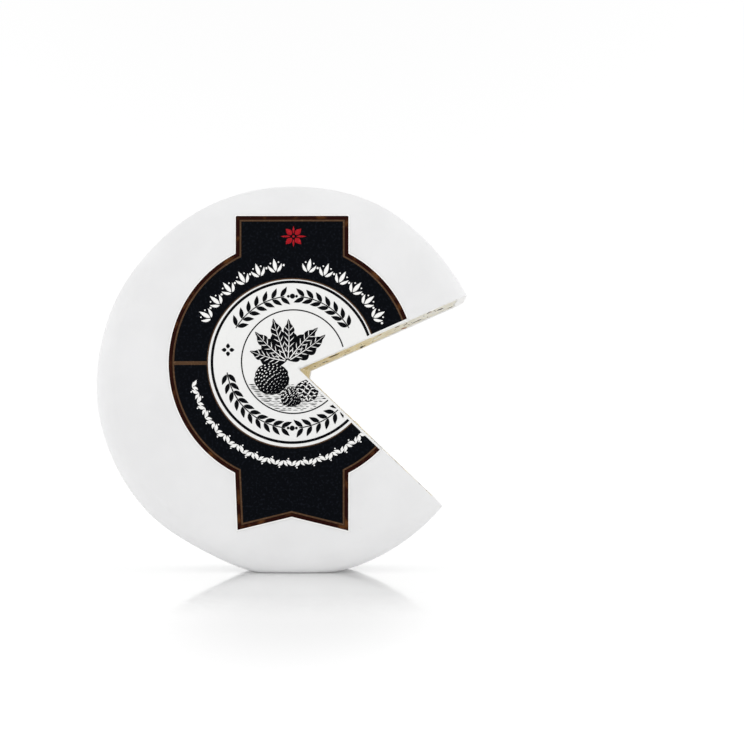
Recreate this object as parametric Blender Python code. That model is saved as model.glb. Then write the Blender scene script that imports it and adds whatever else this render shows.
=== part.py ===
"""A small wheel of waxed truffle cheddar with a wedge cut out, standing on its rim.

Metres, +Z up. The wheel's axis runs along Y and its labelled face looks along -Y. The origin is on
the floor, in the middle of the flat foot, under the axis and half way through the wheel's depth.
Three pieces: the paste with its truffle bits, the wax coat round it, and the paper label.
"""

import math
import random

import bmesh
import bpy
from mathutils import Matrix, Vector

MM = 0.001

# The whole wheel, before its wedge is cut
WHEEL_RADIUS = 42.1 * MM
WHEEL_DEPTH = 32.0 * MM
AXIS_HEIGHT = 41.0 * MM
EDGE_ROUND = 5.0 * MM
OUTLINE_POINTS = 120
ROUND_STEPS = 5

# Where the poured wheel strays from a circle: direction and spread in degrees, swelling
RIM_SWELLS = (
    (38.0, 10.0, -0.30 * MM),
    (65.0, 8.0, 0.35 * MM),
    (136.0, 9.0, -0.32 * MM),
    (192.0, 12.0, 0.25 * MM),
    (243.0, 10.0, -0.90 * MM),
)

# The wax at the rim, front and back, and the clearance that keeps touching pieces apart
RIM_WAX = 2.3 * MM
FRONT_WAX = 2.8 * MM
BACK_WAX = 3.6 * MM
WAX = (RIM_WAX, FRONT_WAX, BACK_WAX)
PASTE_ROUND = 2.0 * MM
CLEARANCE = 0.3 * MM

# The missing wedge, seen from the front: its tip from the axis, and its two cuts from +X
TIP_RIGHT = 1.53 * MM
TIP_UP = 2.42 * MM
UPPER_CUT_DEG = 23.9
LOWER_CUT_DEG = -43.6
BROKEN_TIP_FRONT = 0.1 * MM
BROKEN_TIP_BACK = 1.7 * MM
CUT_REACH = 46.0 * MM
CUT_BEYOND = 60.0 * MM
CUT_OVERRUN = 3.0 * MM

# The relief of the paste on the two cuts, which lies a little under the wax's cut edge
RELIEF_STEPS_OUT = 30
RELIEF_STEPS_ACROSS = 24
RELIEF_SINK = 0.12 * MM
RELIEF_WAVES = (
    (11.0 * MM, 17.0 * MM, 0.6, 0.07 * MM),
    (6.3 * MM, -8.1 * MM, 2.1, 0.06 * MM),
    (3.9 * MM, 5.2 * MM, 4.0, 0.04 * MM),
)
CRAGS_A_CUT = 11
CRAG_RADIUS = (1.2 * MM, 2.6 * MM)
CRAG_DEPTH = (0.25 * MM, 0.6 * MM)
CRAG_SEED = 11

# The truffle bits: out from the tip, in from the front face, half their length each way, and turn
UPPER_BITS = (
    (8.0 * MM, 13.0 * MM, 1.50 * MM, 0.85 * MM, 0.15),
    (14.6 * MM, 25.5 * MM, 0.75 * MM, 0.65 * MM, 0.0),
    (19.5 * MM, 16.0 * MM, 1.25 * MM, 0.70 * MM, 0.9),
    (5.6 * MM, 22.0 * MM, 0.55 * MM, 0.75 * MM, 1.2),
    (12.4 * MM, 7.6 * MM, 0.60 * MM, 0.50 * MM, 0.4),
    (23.2 * MM, 8.8 * MM, 0.95 * MM, 0.60 * MM, 1.3),
    (27.8 * MM, 20.2 * MM, 1.10 * MM, 0.85 * MM, 0.5),
    (30.6 * MM, 6.4 * MM, 0.50 * MM, 0.70 * MM, 0.2),
    (33.4 * MM, 14.2 * MM, 0.80 * MM, 1.15 * MM, 0.0),
    (36.2 * MM, 23.4 * MM, 0.60 * MM, 0.45 * MM, 0.9),
    (17.0 * MM, 22.6 * MM, 0.45 * MM, 0.55 * MM, 0.7),
    (25.0 * MM, 14.0 * MM, 0.50 * MM, 0.40 * MM, 0.0),
)
LOWER_BITS = (
    (1.9 * MM, 5.6 * MM, 1.10 * MM, 1.00 * MM, 0.0),
    (12.0 * MM, 6.6 * MM, 1.00 * MM, 0.70 * MM, 0.0),
    (23.4 * MM, 4.5 * MM, 1.60 * MM, 1.15 * MM, 0.0),
    (23.0 * MM, 7.7 * MM, 1.00 * MM, 1.15 * MM, 0.0),
    (26.6 * MM, 7.7 * MM, 0.45 * MM, 0.80 * MM, 0.0),
    (29.2 * MM, 12.7 * MM, 1.15 * MM, 1.85 * MM, 0.0),
    (34.7 * MM, 6.4 * MM, 0.75 * MM, 0.80 * MM, 0.0),
    (38.3 * MM, 15.0 * MM, 0.70 * MM, 0.80 * MM, 0.0),
    (27.1 * MM, 18.2 * MM, 0.90 * MM, 0.50 * MM, 0.0),
    (27.2 * MM, 19.9 * MM, 0.55 * MM, 0.50 * MM, 0.0),
    (30.0 * MM, 19.3 * MM, 0.80 * MM, 1.20 * MM, 0.0),
    (27.4 * MM, 23.4 * MM, 0.50 * MM, 0.45 * MM, 0.0),
    (35.4 * MM, 22.9 * MM, 0.90 * MM, 1.25 * MM, 0.0),
    (16.7 * MM, 26.7 * MM, 0.85 * MM, 1.00 * MM, 0.0),
    (21.1 * MM, 27.2 * MM, 0.55 * MM, 0.55 * MM, 0.0),
)
BIT_THICKNESS = 0.55
BIT_SUNK = 0.6

# The die-cut label, from its own centre, with where that is from the axis
LABEL_RIGHT = 0.15 * MM
LABEL_UP = 3.7 * MM
LABEL_RING = 26.5 * MM
LABEL_HALF_TAB = 12.28 * MM
LABEL_TOP = 31.65 * MM
LABEL_TAIL = 35.9 * MM
LABEL_TAIL_NOTCH = 32.9 * MM
LABEL_THICK = 0.3 * MM
LABEL_ARC_POINTS = 36
SHADE_ANGLE = math.radians(35.0)

# Colours in linear RGB, with roughness
PASTE_LOOK = ((0.66, 0.55, 0.30, 1.0), 0.55)
WAX_LOOK = ((0.80, 0.80, 0.80, 1.0), 0.35)
LABEL_LOOK = ((0.012, 0.014, 0.018, 1.0), 0.45)


def clear_scene():
    """Removes what the scene starts with."""
    for item in list(bpy.data.objects):
        bpy.data.objects.remove(item, do_unlink=True)


def material(name, look):
    """A dielectric finish of one colour and roughness."""
    colour, roughness = look
    finish = bpy.data.materials.new(name)
    finish.use_nodes = True
    shader = finish.node_tree.nodes["Principled BSDF"]
    shader.inputs["Base Color"].default_value = colour
    shader.inputs["Roughness"].default_value = roughness
    shader.inputs["Metallic"].default_value = 0.0
    return finish


def placed(name, shape, finish=None):
    """Turns a finished bmesh into an object in the scene."""
    bmesh.ops.recalc_face_normals(shape, faces=shape.faces)
    mesh = bpy.data.meshes.new(name)
    shape.to_mesh(mesh)
    shape.free()
    item = bpy.data.objects.new(name, mesh)
    bpy.context.scene.collection.objects.link(item)
    if finish:
        mesh.materials.append(finish)
    return item


def rim_radius(angle):
    """Radius of the wheel in one direction: a circle with a few soft swells and dents."""
    radius = WHEEL_RADIUS
    for towards, spread, swell in RIM_SWELLS:
        away = math.remainder(angle - math.radians(towards), math.tau)
        radius += swell * math.exp(-0.5 * (away / math.radians(spread)) ** 2)
    return radius


def wheel_solid(name, insets, edge_round, finish=None):
    """An uncut wheel: its outline less the insets, extruded, the two rims rounded and the foot cut flat."""
    rim_inset, front_inset, back_inset = insets
    shape = bmesh.new()
    front = front_inset - WHEEL_DEPTH / 2
    outline = []
    for step in range(OUTLINE_POINTS):
        angle = math.tau * step / OUTLINE_POINTS
        radius = rim_radius(angle) - rim_inset
        place = (radius * math.cos(angle), front, AXIS_HEIGHT + radius * math.sin(angle))
        outline.append(shape.verts.new(place))
    face = shape.faces.new(outline)
    grown = bmesh.ops.extrude_face_region(shape, geom=[face])["geom"]
    back = [part for part in grown if isinstance(part, bmesh.types.BMVert)]
    bmesh.ops.translate(shape, verts=back, vec=(0.0, WHEEL_DEPTH - front_inset - back_inset, 0.0))
    rims = [edge for edge in shape.edges if edge.verts[0].co.y == edge.verts[1].co.y]
    bmesh.ops.bevel(shape, geom=rims, offset=edge_round, segments=ROUND_STEPS, profile=0.5, affect="EDGES")
    cut = bmesh.ops.bisect_plane(
        shape,
        geom=shape.verts[:] + shape.edges[:] + shape.faces[:],
        plane_co=(0.0, 0.0, rim_inset),
        plane_no=(0.0, 0.0, -1.0),
        clear_outer=True,
    )["geom_cut"]
    bmesh.ops.edgeloop_fill(shape, edges=[part for part in cut if isinstance(part, bmesh.types.BMEdge)])
    return placed(name, shape, finish)


def broken_tip(across):
    """How far from the wedge's tip the cuts begin: hardly at all at the front, more towards the back."""
    share = min(max(across / WHEEL_DEPTH + 0.5, 0.0), 1.0)
    return BROKEN_TIP_FRONT + (BROKEN_TIP_BACK - BROKEN_TIP_FRONT) * share


def cut_place(cut_deg, inwards, out, across, lift):
    """A point on a cut: out from the tip, across the depth, lifted into the missing wedge."""
    along = math.radians(cut_deg)
    normal = along + inwards * math.pi / 2
    return Vector((
        TIP_RIGHT + out * math.cos(along) + lift * math.cos(normal),
        across,
        AXIS_HEIGHT + TIP_UP + out * math.sin(along) + lift * math.sin(normal),
    ))


def crags(draw):
    """Places, radii and depths of the torn spots on one cut."""
    spots = []
    for _ in range(CRAGS_A_CUT):
        out = draw.uniform(0.0, WHEEL_RADIUS)
        across = draw.uniform(FRONT_WAX, WHEEL_DEPTH - BACK_WAX) - WHEEL_DEPTH / 2
        spots.append((out, across, draw.uniform(*CRAG_RADIUS), draw.uniform(*CRAG_DEPTH)))
    return spots


def relief(spots, turn, out, across):
    """Height of the paste on a cut: crossing waves, less a smooth hollow at each torn spot."""
    height = -RELIEF_SINK
    for length_out, length_across, phase, size in RELIEF_WAVES:
        height += size * math.sin(math.tau * (out / length_out + across / length_across) + phase + turn)
    for spot_out, spot_across, radius, depth in spots:
        away = math.hypot(out - spot_out, across - spot_across) / radius
        height -= depth * math.exp(-away * away)
    return height


def cut_row(across, heights):
    """The notch's section: in along the upper cut, out along the lower, round a point beyond the rim."""
    begin = broken_tip(across)
    steps = RELIEF_STEPS_OUT if heights else 1
    row = []
    for cut_deg, inwards, order in ((UPPER_CUT_DEG, -1, -1), (LOWER_CUT_DEG, 1, 1)):
        for step in range(steps + 1)[::order]:
            out = begin + (CUT_REACH - begin) * step / steps
            lift = heights(cut_deg, out, across) if heights else 0.0
            row.append(cut_place(cut_deg, inwards, out, across, lift))
    row.append(cut_place((UPPER_CUT_DEG + LOWER_CUT_DEG) / 2, 1, CUT_BEYOND, across, 0.0))
    return row


def notch_cutter(name, heights=None):
    """The missing wedge as a closed solid: a bent sheet over both cuts, two flat ends and an outer wall."""
    shape = bmesh.new()
    half = WHEEL_DEPTH / 2 + CUT_OVERRUN
    steps = RELIEF_STEPS_ACROSS if heights else 1
    rows = []
    for step in range(steps + 1):
        across = half * (2 * step / steps - 1)
        rows.append([shape.verts.new(place) for place in cut_row(across, heights)])
    count = len(rows[0])
    for near, far in zip(rows, rows[1:]):
        for at in range(count):
            after = (at + 1) % count
            shape.faces.new((near[at], near[after], far[after], far[at]))
    shape.faces.new(rows[0])
    shape.faces.new(rows[-1][::-1])
    cutter = placed(name, shape)
    cutter.hide_render = True
    cutter.display_type = "WIRE"
    return cutter


def boolean(item, operation, other):
    """Adds a live Boolean with one object, or with all of a collection."""
    modifier = item.modifiers.new(operation.lower(), "BOOLEAN")
    modifier.operation = operation
    if isinstance(other, bpy.types.Collection):
        modifier.operand_type = "COLLECTION"
        modifier.collection = other
    else:
        modifier.object = other


def apply_modifiers(item):
    """Makes the evaluated mesh the object's own."""
    graph = bpy.context.evaluated_depsgraph_get()
    mesh = bpy.data.meshes.new_from_object(item.evaluated_get(graph))
    item.modifiers.clear()
    item.data = mesh


def smooth(item):
    """Smooth shading on the round parts, sharp at the cuts."""
    item.data.shade_smooth()
    item.data.set_sharp_from_angle(angle=SHADE_ANGLE)


def truffle_bit(collection, place, axes, half_lengths, turn):
    """One angular bit: an icosahedron, stretched, turned on the cut and sunk past its middle."""
    shape = bmesh.new()
    bmesh.ops.create_icosphere(shape, subdivisions=1, radius=1.0)
    thick = BIT_THICKNESS * min(half_lengths)
    size = Matrix.Diagonal((*half_lengths, thick, 1.0))
    spin = Matrix.Rotation(turn, 4, "Z")
    lay = Matrix(axes).transposed().to_4x4()
    sunk = Matrix.Translation(place - axes[2] * thick * BIT_SUNK)
    bmesh.ops.transform(shape, verts=shape.verts, matrix=sunk @ lay @ spin @ size)
    bit = placed("truffle_bit", shape)
    bpy.context.scene.collection.objects.unlink(bit)
    collection.objects.link(bit)


def lay_truffle(collection, bits, cut_deg, inwards, heights):
    """Lays the bits of one cut on its relief."""
    origin = cut_place(cut_deg, inwards, 0.0, 0.0, 0.0)
    along = cut_place(cut_deg, inwards, 1.0, 0.0, 0.0) - origin
    normal = cut_place(cut_deg, inwards, 0.0, 0.0, 1.0) - origin
    for out, inside, long, wide, turn in bits:
        across = inside - WHEEL_DEPTH / 2
        place = cut_place(cut_deg, inwards, out, across, heights(cut_deg, out, across))
        truffle_bit(collection, place, (along, Vector((0.0, 1.0, 0.0)), normal), (long, wide), turn)


def make_cheddar():
    """The paste: the uncut cheese less its wedge, whose crumbly cuts have truffle bits fused on."""
    draw = random.Random(CRAG_SEED)
    spots = {cut: crags(draw) for cut in (UPPER_CUT_DEG, LOWER_CUT_DEG)}

    def heights(cut_deg, out, across):
        return relief(spots[cut_deg], math.radians(cut_deg), out, across)

    insets = [wax + CLEARANCE for wax in WAX]
    cheddar = wheel_solid("cheddar", insets, PASTE_ROUND, material("paste", PASTE_LOOK))
    cutter = notch_cutter("crumbly_cut", heights)
    bits = bpy.data.collections.new("truffle_bits")
    bpy.context.scene.collection.children.link(bits)
    lay_truffle(bits, UPPER_BITS, UPPER_CUT_DEG, -1, heights)
    lay_truffle(bits, LOWER_BITS, LOWER_CUT_DEG, 1, heights)
    boolean(cheddar, "DIFFERENCE", cutter)
    boolean(cheddar, "UNION", bits)
    apply_modifiers(cheddar)
    for helper in [*bits.objects, cutter]:
        bpy.data.objects.remove(helper, do_unlink=True)
    bpy.data.collections.remove(bits)
    smooth(cheddar)
    return cheddar


def make_wax_coat(cutter):
    """The coat: the uncut wheel less the room for the paste, then cut through with the same wedge."""
    coat = wheel_solid("wax_coat", (0.0, 0.0, 0.0), EDGE_ROUND, material("wax", WAX_LOOK))
    room = wheel_solid("room_for_paste", WAX, PASTE_ROUND + CLEARANCE)
    room.hide_render = True
    room.display_type = "WIRE"
    boolean(coat, "DIFFERENCE", room)
    boolean(coat, "DIFFERENCE", cutter)
    smooth(coat)
    return coat


def label_outline():
    """The label's outline about its centre: a tab, half a ring, a swallow tail, and the other half ring."""
    reach = math.atan2(math.sqrt(LABEL_RING**2 - LABEL_HALF_TAB**2), LABEL_HALF_TAB)
    arc = [reach - 2 * reach * step / LABEL_ARC_POINTS for step in range(LABEL_ARC_POINTS + 1)]
    right = [(LABEL_HALF_TAB, LABEL_TOP)]
    right += [(LABEL_RING * math.cos(angle), LABEL_RING * math.sin(angle)) for angle in arc]
    right += [(LABEL_HALF_TAB, -LABEL_TAIL)]
    left = [(-across, up) for across, up in reversed(right)]
    return right + [(0.0, -LABEL_TAIL_NOTCH)] + left


def make_label(cutter):
    """The label: a thin sheet in front of the wax, cut through with the wedge."""
    shape = bmesh.new()
    back = -WHEEL_DEPTH / 2 - CLEARANCE
    places = [(LABEL_RIGHT + across, back, AXIS_HEIGHT + LABEL_UP + up) for across, up in label_outline()]
    face = shape.faces.new([shape.verts.new(place) for place in places])
    grown = bmesh.ops.extrude_face_region(shape, geom=[face])["geom"]
    front = [part for part in grown if isinstance(part, bmesh.types.BMVert)]
    bmesh.ops.translate(shape, verts=front, vec=(0.0, -LABEL_THICK, 0.0))
    label = placed("label", shape, material("label_paper", LABEL_LOOK))
    boolean(label, "DIFFERENCE", cutter)
    return label


def main():
    """Builds the three pieces, with the wedge's cutter left as a hidden helper."""
    clear_scene()
    make_cheddar()
    cutter = notch_cutter("missing_wedge")
    make_wax_coat(cutter)
    make_label(cutter)


main()
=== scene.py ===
"""The looks of a small wheel of waxed truffle cheddar with a wedge cut out.

Metres, +Z up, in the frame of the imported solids: the wheel stands on a short flat foot at the
origin, its axis runs along Y and its labelled face looks along -Y. The wax coat, the cut paste
with its truffle bits, and the printed label each stand for the solid of the same place.
"""

import logging
import math
import random
from collections.abc import Callable
from dataclasses import dataclass, field
from enum import Enum

import bmesh
import bpy
import numpy as np
from mathutils import Euler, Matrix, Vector


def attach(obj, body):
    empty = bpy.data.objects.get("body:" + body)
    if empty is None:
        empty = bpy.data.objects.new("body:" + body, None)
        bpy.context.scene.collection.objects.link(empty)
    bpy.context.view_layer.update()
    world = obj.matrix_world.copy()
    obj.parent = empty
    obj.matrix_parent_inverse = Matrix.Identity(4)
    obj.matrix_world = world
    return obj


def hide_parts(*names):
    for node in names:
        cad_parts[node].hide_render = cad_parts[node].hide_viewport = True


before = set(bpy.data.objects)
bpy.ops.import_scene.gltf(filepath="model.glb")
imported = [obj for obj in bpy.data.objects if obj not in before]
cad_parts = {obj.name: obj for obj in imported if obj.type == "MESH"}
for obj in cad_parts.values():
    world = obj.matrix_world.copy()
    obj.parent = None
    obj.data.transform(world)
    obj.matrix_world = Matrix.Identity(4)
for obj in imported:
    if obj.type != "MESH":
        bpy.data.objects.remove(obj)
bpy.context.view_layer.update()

MM = 0.001
BODY = "root"
LOG = logging.getLogger("cheddar")

Numbers = np.ndarray
Pair = tuple[float, float]
Triple = tuple[float, float, float]
Colour = Triple
Rows = tuple[tuple[float, ...], ...]
Object = bpy.types.Object
Material = bpy.types.Material
Socket = bpy.types.NodeSocket

EVEN = (1.0, 1.0, 1.0)
WHITE_LIGHT = (1.0, 1.0, 1.0, 1.0)
QUARTERS = (0.0, 90.0, 180.0, 270.0)

# A point this near to a plane lies on it, in metres; a face this small is dropped, in square metres.
TOUCH = 1e-7
SLIVER = 1e-12


def smoothstep(low: float, high: float, value: Numbers) -> Numbers:
    """Rises from 0 at low to 1 at high along 3t² - 2t³."""
    share = np.clip((value - low) / (high - low), 0.0, 1.0)
    return share * share * (3.0 - 2.0 * share)


def rays(angle: Numbers | float) -> Numbers:
    """Unit vectors in the front view, in directions from +X towards +Z in radians."""
    return np.stack([np.cos(angle), np.zeros_like(angle), np.sin(angle)], -1)


def soft_noise(x: Numbers, y: Numbers, size: float, seed: int) -> Numbers:
    """Value noise: random numbers on a square lattice, blended between its points by smoothsteps.

    Args:
        x: First coordinates.
        y: Second coordinates.
        size: Side of a lattice cell, in the same units.
        seed: Picks the lattice's numbers.

    Returns:
        Values from -1 to 1.
    """
    cells = 64
    lattice = np.random.default_rng(seed).uniform(-1.0, 1.0, (cells, cells))
    u, v = x / size, y / size
    i, j = np.floor(u).astype(int), np.floor(v).astype(int)
    s, t = smoothstep(0.0, 1.0, u - i), smoothstep(0.0, 1.0, v - j)
    near, far = (
        lattice[i % cells, row % cells] * (1 - s) + lattice[(i + 1) % cells, row % cells] * s
        for row in (j, j + 1)
    )
    return near * (1 - t) + far * t


def distance_to_path(x: Numbers, y: Numbers, path: Numbers) -> Numbers:
    """Distance of points from a path of straight runs: the least of the distances to its runs.

    Args:
        x: First coordinates of the points.
        y: Second coordinates of the points.
        path: Corners of the path, one row each.

    Returns:
        One distance for each point.
    """
    best = np.full(np.shape(x), np.inf)
    for begin, end in zip(path[:-1], path[1:]):
        run = end - begin
        share = np.clip(((x - begin[0]) * run[0] + (y - begin[1]) * run[1]) / (run @ run), 0.0, 1.0)
        best = np.minimum(best, np.hypot(x - begin[0] - share * run[0], y - begin[1] - share * run[1]))
    return best


class Shell:
    """Grids of points gathered into one mesh, with what coincides welded."""

    WELD = 1e-6

    def __init__(self) -> None:
        """Starts with no points."""
        self.points: list[Numbers] = []
        self.quads: list[Numbers] = []
        self.count = 0

    def grid(self, points: Numbers, closed: bool = False) -> None:
        """Adds a surface given as a grid of points, with a quad between each four neighbours.

        Args:
            points: Array of rows by columns by 3.
            closed: Whether the last column meets the first.
        """
        rows, columns = points.shape[:2]
        at = np.arange(rows * columns).reshape(rows, columns) + self.count
        if closed:
            at = np.concatenate([at, at[:, :1]], axis=1)
        corners = at[:-1, :-1], at[:-1, 1:], at[1:, 1:], at[1:, :-1]
        self.quads.append(np.stack(corners, -1).reshape(-1, 4))
        self.points.append(points.reshape(-1, 3))
        self.count += rows * columns

    def piece(self, name: str, finish: Material, closed: bool = True) -> Object:
        """Makes the object: its mesh is welded, and if closed turned to face outwards.

        Args:
            name: The piece's name.
            finish: Its material.
            closed: Whether the surfaces close into a body.

        Returns:
            The object, linked to the scene at the origin.
        """
        mesh = bpy.data.meshes.new(name)
        mesh.from_pydata(np.concatenate(self.points), (), np.concatenate(self.quads))
        shape = bmesh.new()
        shape.from_mesh(mesh)
        bmesh.ops.remove_doubles(shape, verts=shape.verts, dist=self.WELD)
        if closed:
            bmesh.ops.recalc_face_normals(shape, faces=shape.faces)
        shape.to_mesh(mesh)
        shape.free()
        mesh.validate()
        mesh.shade_smooth()
        mesh.materials.append(finish)
        item = bpy.data.objects.new(name, mesh)
        bpy.context.scene.collection.objects.link(item)
        return item


def settle(item: Object, node: str) -> Object:
    """Puts a finished piece on the body, and hides the solid that it stands for.

    Args:
        item: The piece.
        node: The solid's name.

    Returns:
        The piece.
    """
    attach(item, BODY)
    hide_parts(node)
    return item


def operator(operation: str, swapped: bool = False) -> Callable[["Value", "Value | float"], "Value"]:
    """Makes an operator of Value, which adds a Math node.

    Args:
        operation: The node's operation.
        swapped: Whether the terms change places, as a reflected form's do.

    Returns:
        The method.
    """

    def method(self: "Value", other: "Value | float") -> "Value":
        """The Math node's result."""
        return self.look.math(operation, *((other, self) if swapped else (self, other)))

    return method


class Value:
    """A number that changes over a surface: a socket that takes Python's operators."""

    def __init__(self, look: "Look", socket: Socket) -> None:
        """Keeps the socket and the look that it belongs to."""
        self.look, self.socket = look, socket

    __add__, __radd__ = operator("ADD"), operator("ADD", True)
    __sub__, __rsub__ = operator("SUBTRACT"), operator("SUBTRACT", True)
    __mul__, __rmul__ = operator("MULTIPLY"), operator("MULTIPLY", True)
    __truediv__, __rtruediv__ = operator("DIVIDE"), operator("DIVIDE", True)
    __pow__, __rpow__ = operator("POWER"), operator("POWER", True)

    def step(self, low: float, high: float) -> "Value":
        """Rises smoothly from 0 where this value is low to 1 where it is high."""
        inputs = {"Value": self, "From Min": low, "From Max": high}
        return self.look.value("ShaderNodeMapRange", {"interpolation_type": "SMOOTHSTEP"}, inputs, "Result")


class Look:
    """The nodes of one finish or of the world."""

    def __init__(self, tree: bpy.types.NodeTree) -> None:
        """Empties the tree."""
        self.tree = tree
        tree.nodes.clear()

    def node(
        self, kind: str, settings: dict[str, object], inputs: dict[str | int, object]
    ) -> bpy.types.Node:
        """Makes one node.

        Args:
            kind: The node's type.
            settings: Its properties, which are set first.
            inputs: Numbers, or the Value or socket that is linked, by the input's name or place.

        Returns:
            The node.
        """
        made = self.tree.nodes.new(kind)
        for name, setting in settings.items():
            setattr(made, name, setting)
        for name, given in inputs.items():
            given = given.socket if isinstance(given, Value) else given
            if isinstance(given, Socket):
                self.tree.links.new(given, made.inputs[name])
            else:
                made.inputs[name].default_value = given
        return made

    def value(
        self, kind: str, settings: dict[str, object], inputs: dict[str | int, object], output: str | int
    ) -> Value:
        """One output of a new node, as a value."""
        return Value(self, self.node(kind, settings, inputs).outputs[output])

    def math(self, operation: str, *terms: Value | float) -> Value:
        """A Math node on values or numbers."""
        return self.value("ShaderNodeMath", {"operation": operation}, dict(enumerate(terms)), "Value")

    def place(self, stretch: Triple = EVEN) -> Socket:
        """The point on the piece, in metres.

        Args:
            stretch: Scaling along the axes.

        Returns:
            The socket of the place.
        """
        point = self.node("ShaderNodeTexCoord", {}, {}).outputs["Object"]
        if stretch == EVEN:
            return point
        inputs = {"Vector": point, "Scale": stretch}
        return self.node("ShaderNodeMapping", {"vector_type": "POINT"}, inputs).outputs["Vector"]

    def parts(self, vector: Socket) -> list[Value]:
        """The parts of a vector along X, Y and Z."""
        made = self.node("ShaderNodeSeparateXYZ", {}, {"Vector": vector})
        return [Value(self, socket) for socket in made.outputs]

    def noise(self, size: float, detail: float = 2.0, stretch: Triple = EVEN, warp: float = 0.0) -> Value:
        """Cloudy noise.

        Args:
            size: Length of its largest features, in metres.
            detail: How many finer layers lie on them.
            stretch: Scaling of the place along the axes.
            warp: Distortion.

        Returns:
            Values around one half.
        """
        inputs = {"Vector": self.place(stretch), "Scale": 1.0 / size, "Detail": detail, "Distortion": warp}
        return self.value("ShaderNodeTexNoise", {"noise_dimensions": "3D"}, inputs, 0)

    def cells(self, size: float, feature: str = "F1") -> Value:
        """Distance in a field of cells: to the nearest cell's middle, or to the nearest edge."""
        inputs = {"Vector": self.place(), "Scale": 1.0 / size}
        return self.value("ShaderNodeTexVoronoi", {"feature": feature}, inputs, "Distance")

    def stored(self, name: str) -> Value:
        """A number stored in the mesh."""
        settings = {"attribute_name": name, "attribute_type": "GEOMETRY"}
        return self.value("ShaderNodeAttribute", settings, {}, "Fac")

    def blend(self, share: Value, low: Colour | Socket, high: Colour | Socket) -> Socket:
        """Mixes two colours.

        Args:
            share: From 0 for the first to 1 for the second.
            low: The first colour, or the socket of one.
            high: The second.

        Returns:
            The socket of the mixture.
        """
        ends = [(*end, 1.0) if isinstance(end, tuple) else end for end in (low, high)]
        inputs = {0: share, 6: ends[0], 7: ends[1]}
        return self.node("ShaderNodeMix", {"data_type": "RGBA", "clamp_factor": True}, inputs).outputs[2]

    def bump(self, height: Value, strength: float) -> Socket:
        """A normal from a height in millimetres."""
        inputs = {"Height": height, "Distance": MM, "Strength": strength}
        return self.node("ShaderNodeBump", {}, inputs).outputs["Normal"]


@dataclass(frozen=True)
class Finish:
    """What every finish shares: one Principled shader, fed by its own paint method."""

    name: str

    def paint(self, look: Look) -> dict[str, object]:
        """The shader's inputs: numbers that are the same all over, and what changes."""
        raise NotImplementedError

    def material(self) -> Material:
        """Builds the material.

        Returns:
            The material, whose shader is fed by paint.
        """
        made = bpy.data.materials.new(self.name)
        made.use_nodes = True
        look = Look(made.node_tree)
        shader = look.node("ShaderNodeBsdfPrincipled", {}, self.paint(look))
        look.node("ShaderNodeOutputMaterial", {}, {"Surface": shader.outputs[0]})
        return made


@dataclass(frozen=True)
class WaxFinish(Finish):
    """Poured opaque white cheese wax: satin, softly uneven, with pits and hairline scratches."""

    bright: Colour = (0.800, 0.800, 0.804)
    dull: Colour = (0.770, 0.770, 0.774)
    roughness: float = 0.40
    cloud_size: float = 11 * MM
    ripple_size: float = 3.2 * MM
    grain_size: float = 0.55 * MM
    pit_size: float = 5.5 * MM
    lengthwise: Triple = (0.05, 1.0, 1.7)
    crosswise: Triple = (1.9, 1.0, 0.04)

    def paint(self, look: Look) -> dict[str, object]:
        """Clouds of two whites over ripples, grain, pits, and scratches both ways.

        Args:
            look: The material's nodes.

        Returns:
            The shader's inputs.
        """
        clouds = look.noise(self.cloud_size, 3.0)
        grain = look.noise(self.grain_size, 3.0)
        ripple = look.noise(self.ripple_size)
        pits = 1 - look.cells(self.pit_size).step(0.03, 0.075)
        scratch = look.noise(MM, 1.0, self.lengthwise, 0.4).step(0.705, 0.74)
        scuff = look.noise(MM, 1.0, self.crosswise, 0.5).step(0.72, 0.75)
        height = ripple * 0.030 + grain * 0.006 - pits * 0.03 - scratch * 0.012 - scuff * 0.010
        return {
            "IOR": 1.44,
            "Specular IOR Level": 0.5,
            "Subsurface Weight": 0.12,
            "Subsurface Radius": EVEN,
            "Subsurface Scale": 0.8 * MM,
            "Base Color": look.blend(clouds.step(0.3, 0.7), self.dull, self.bright),
            "Roughness": self.roughness + 0.10 * clouds + 0.06 * grain,
            "Normal": look.bump(height, 0.6),
        }


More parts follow.
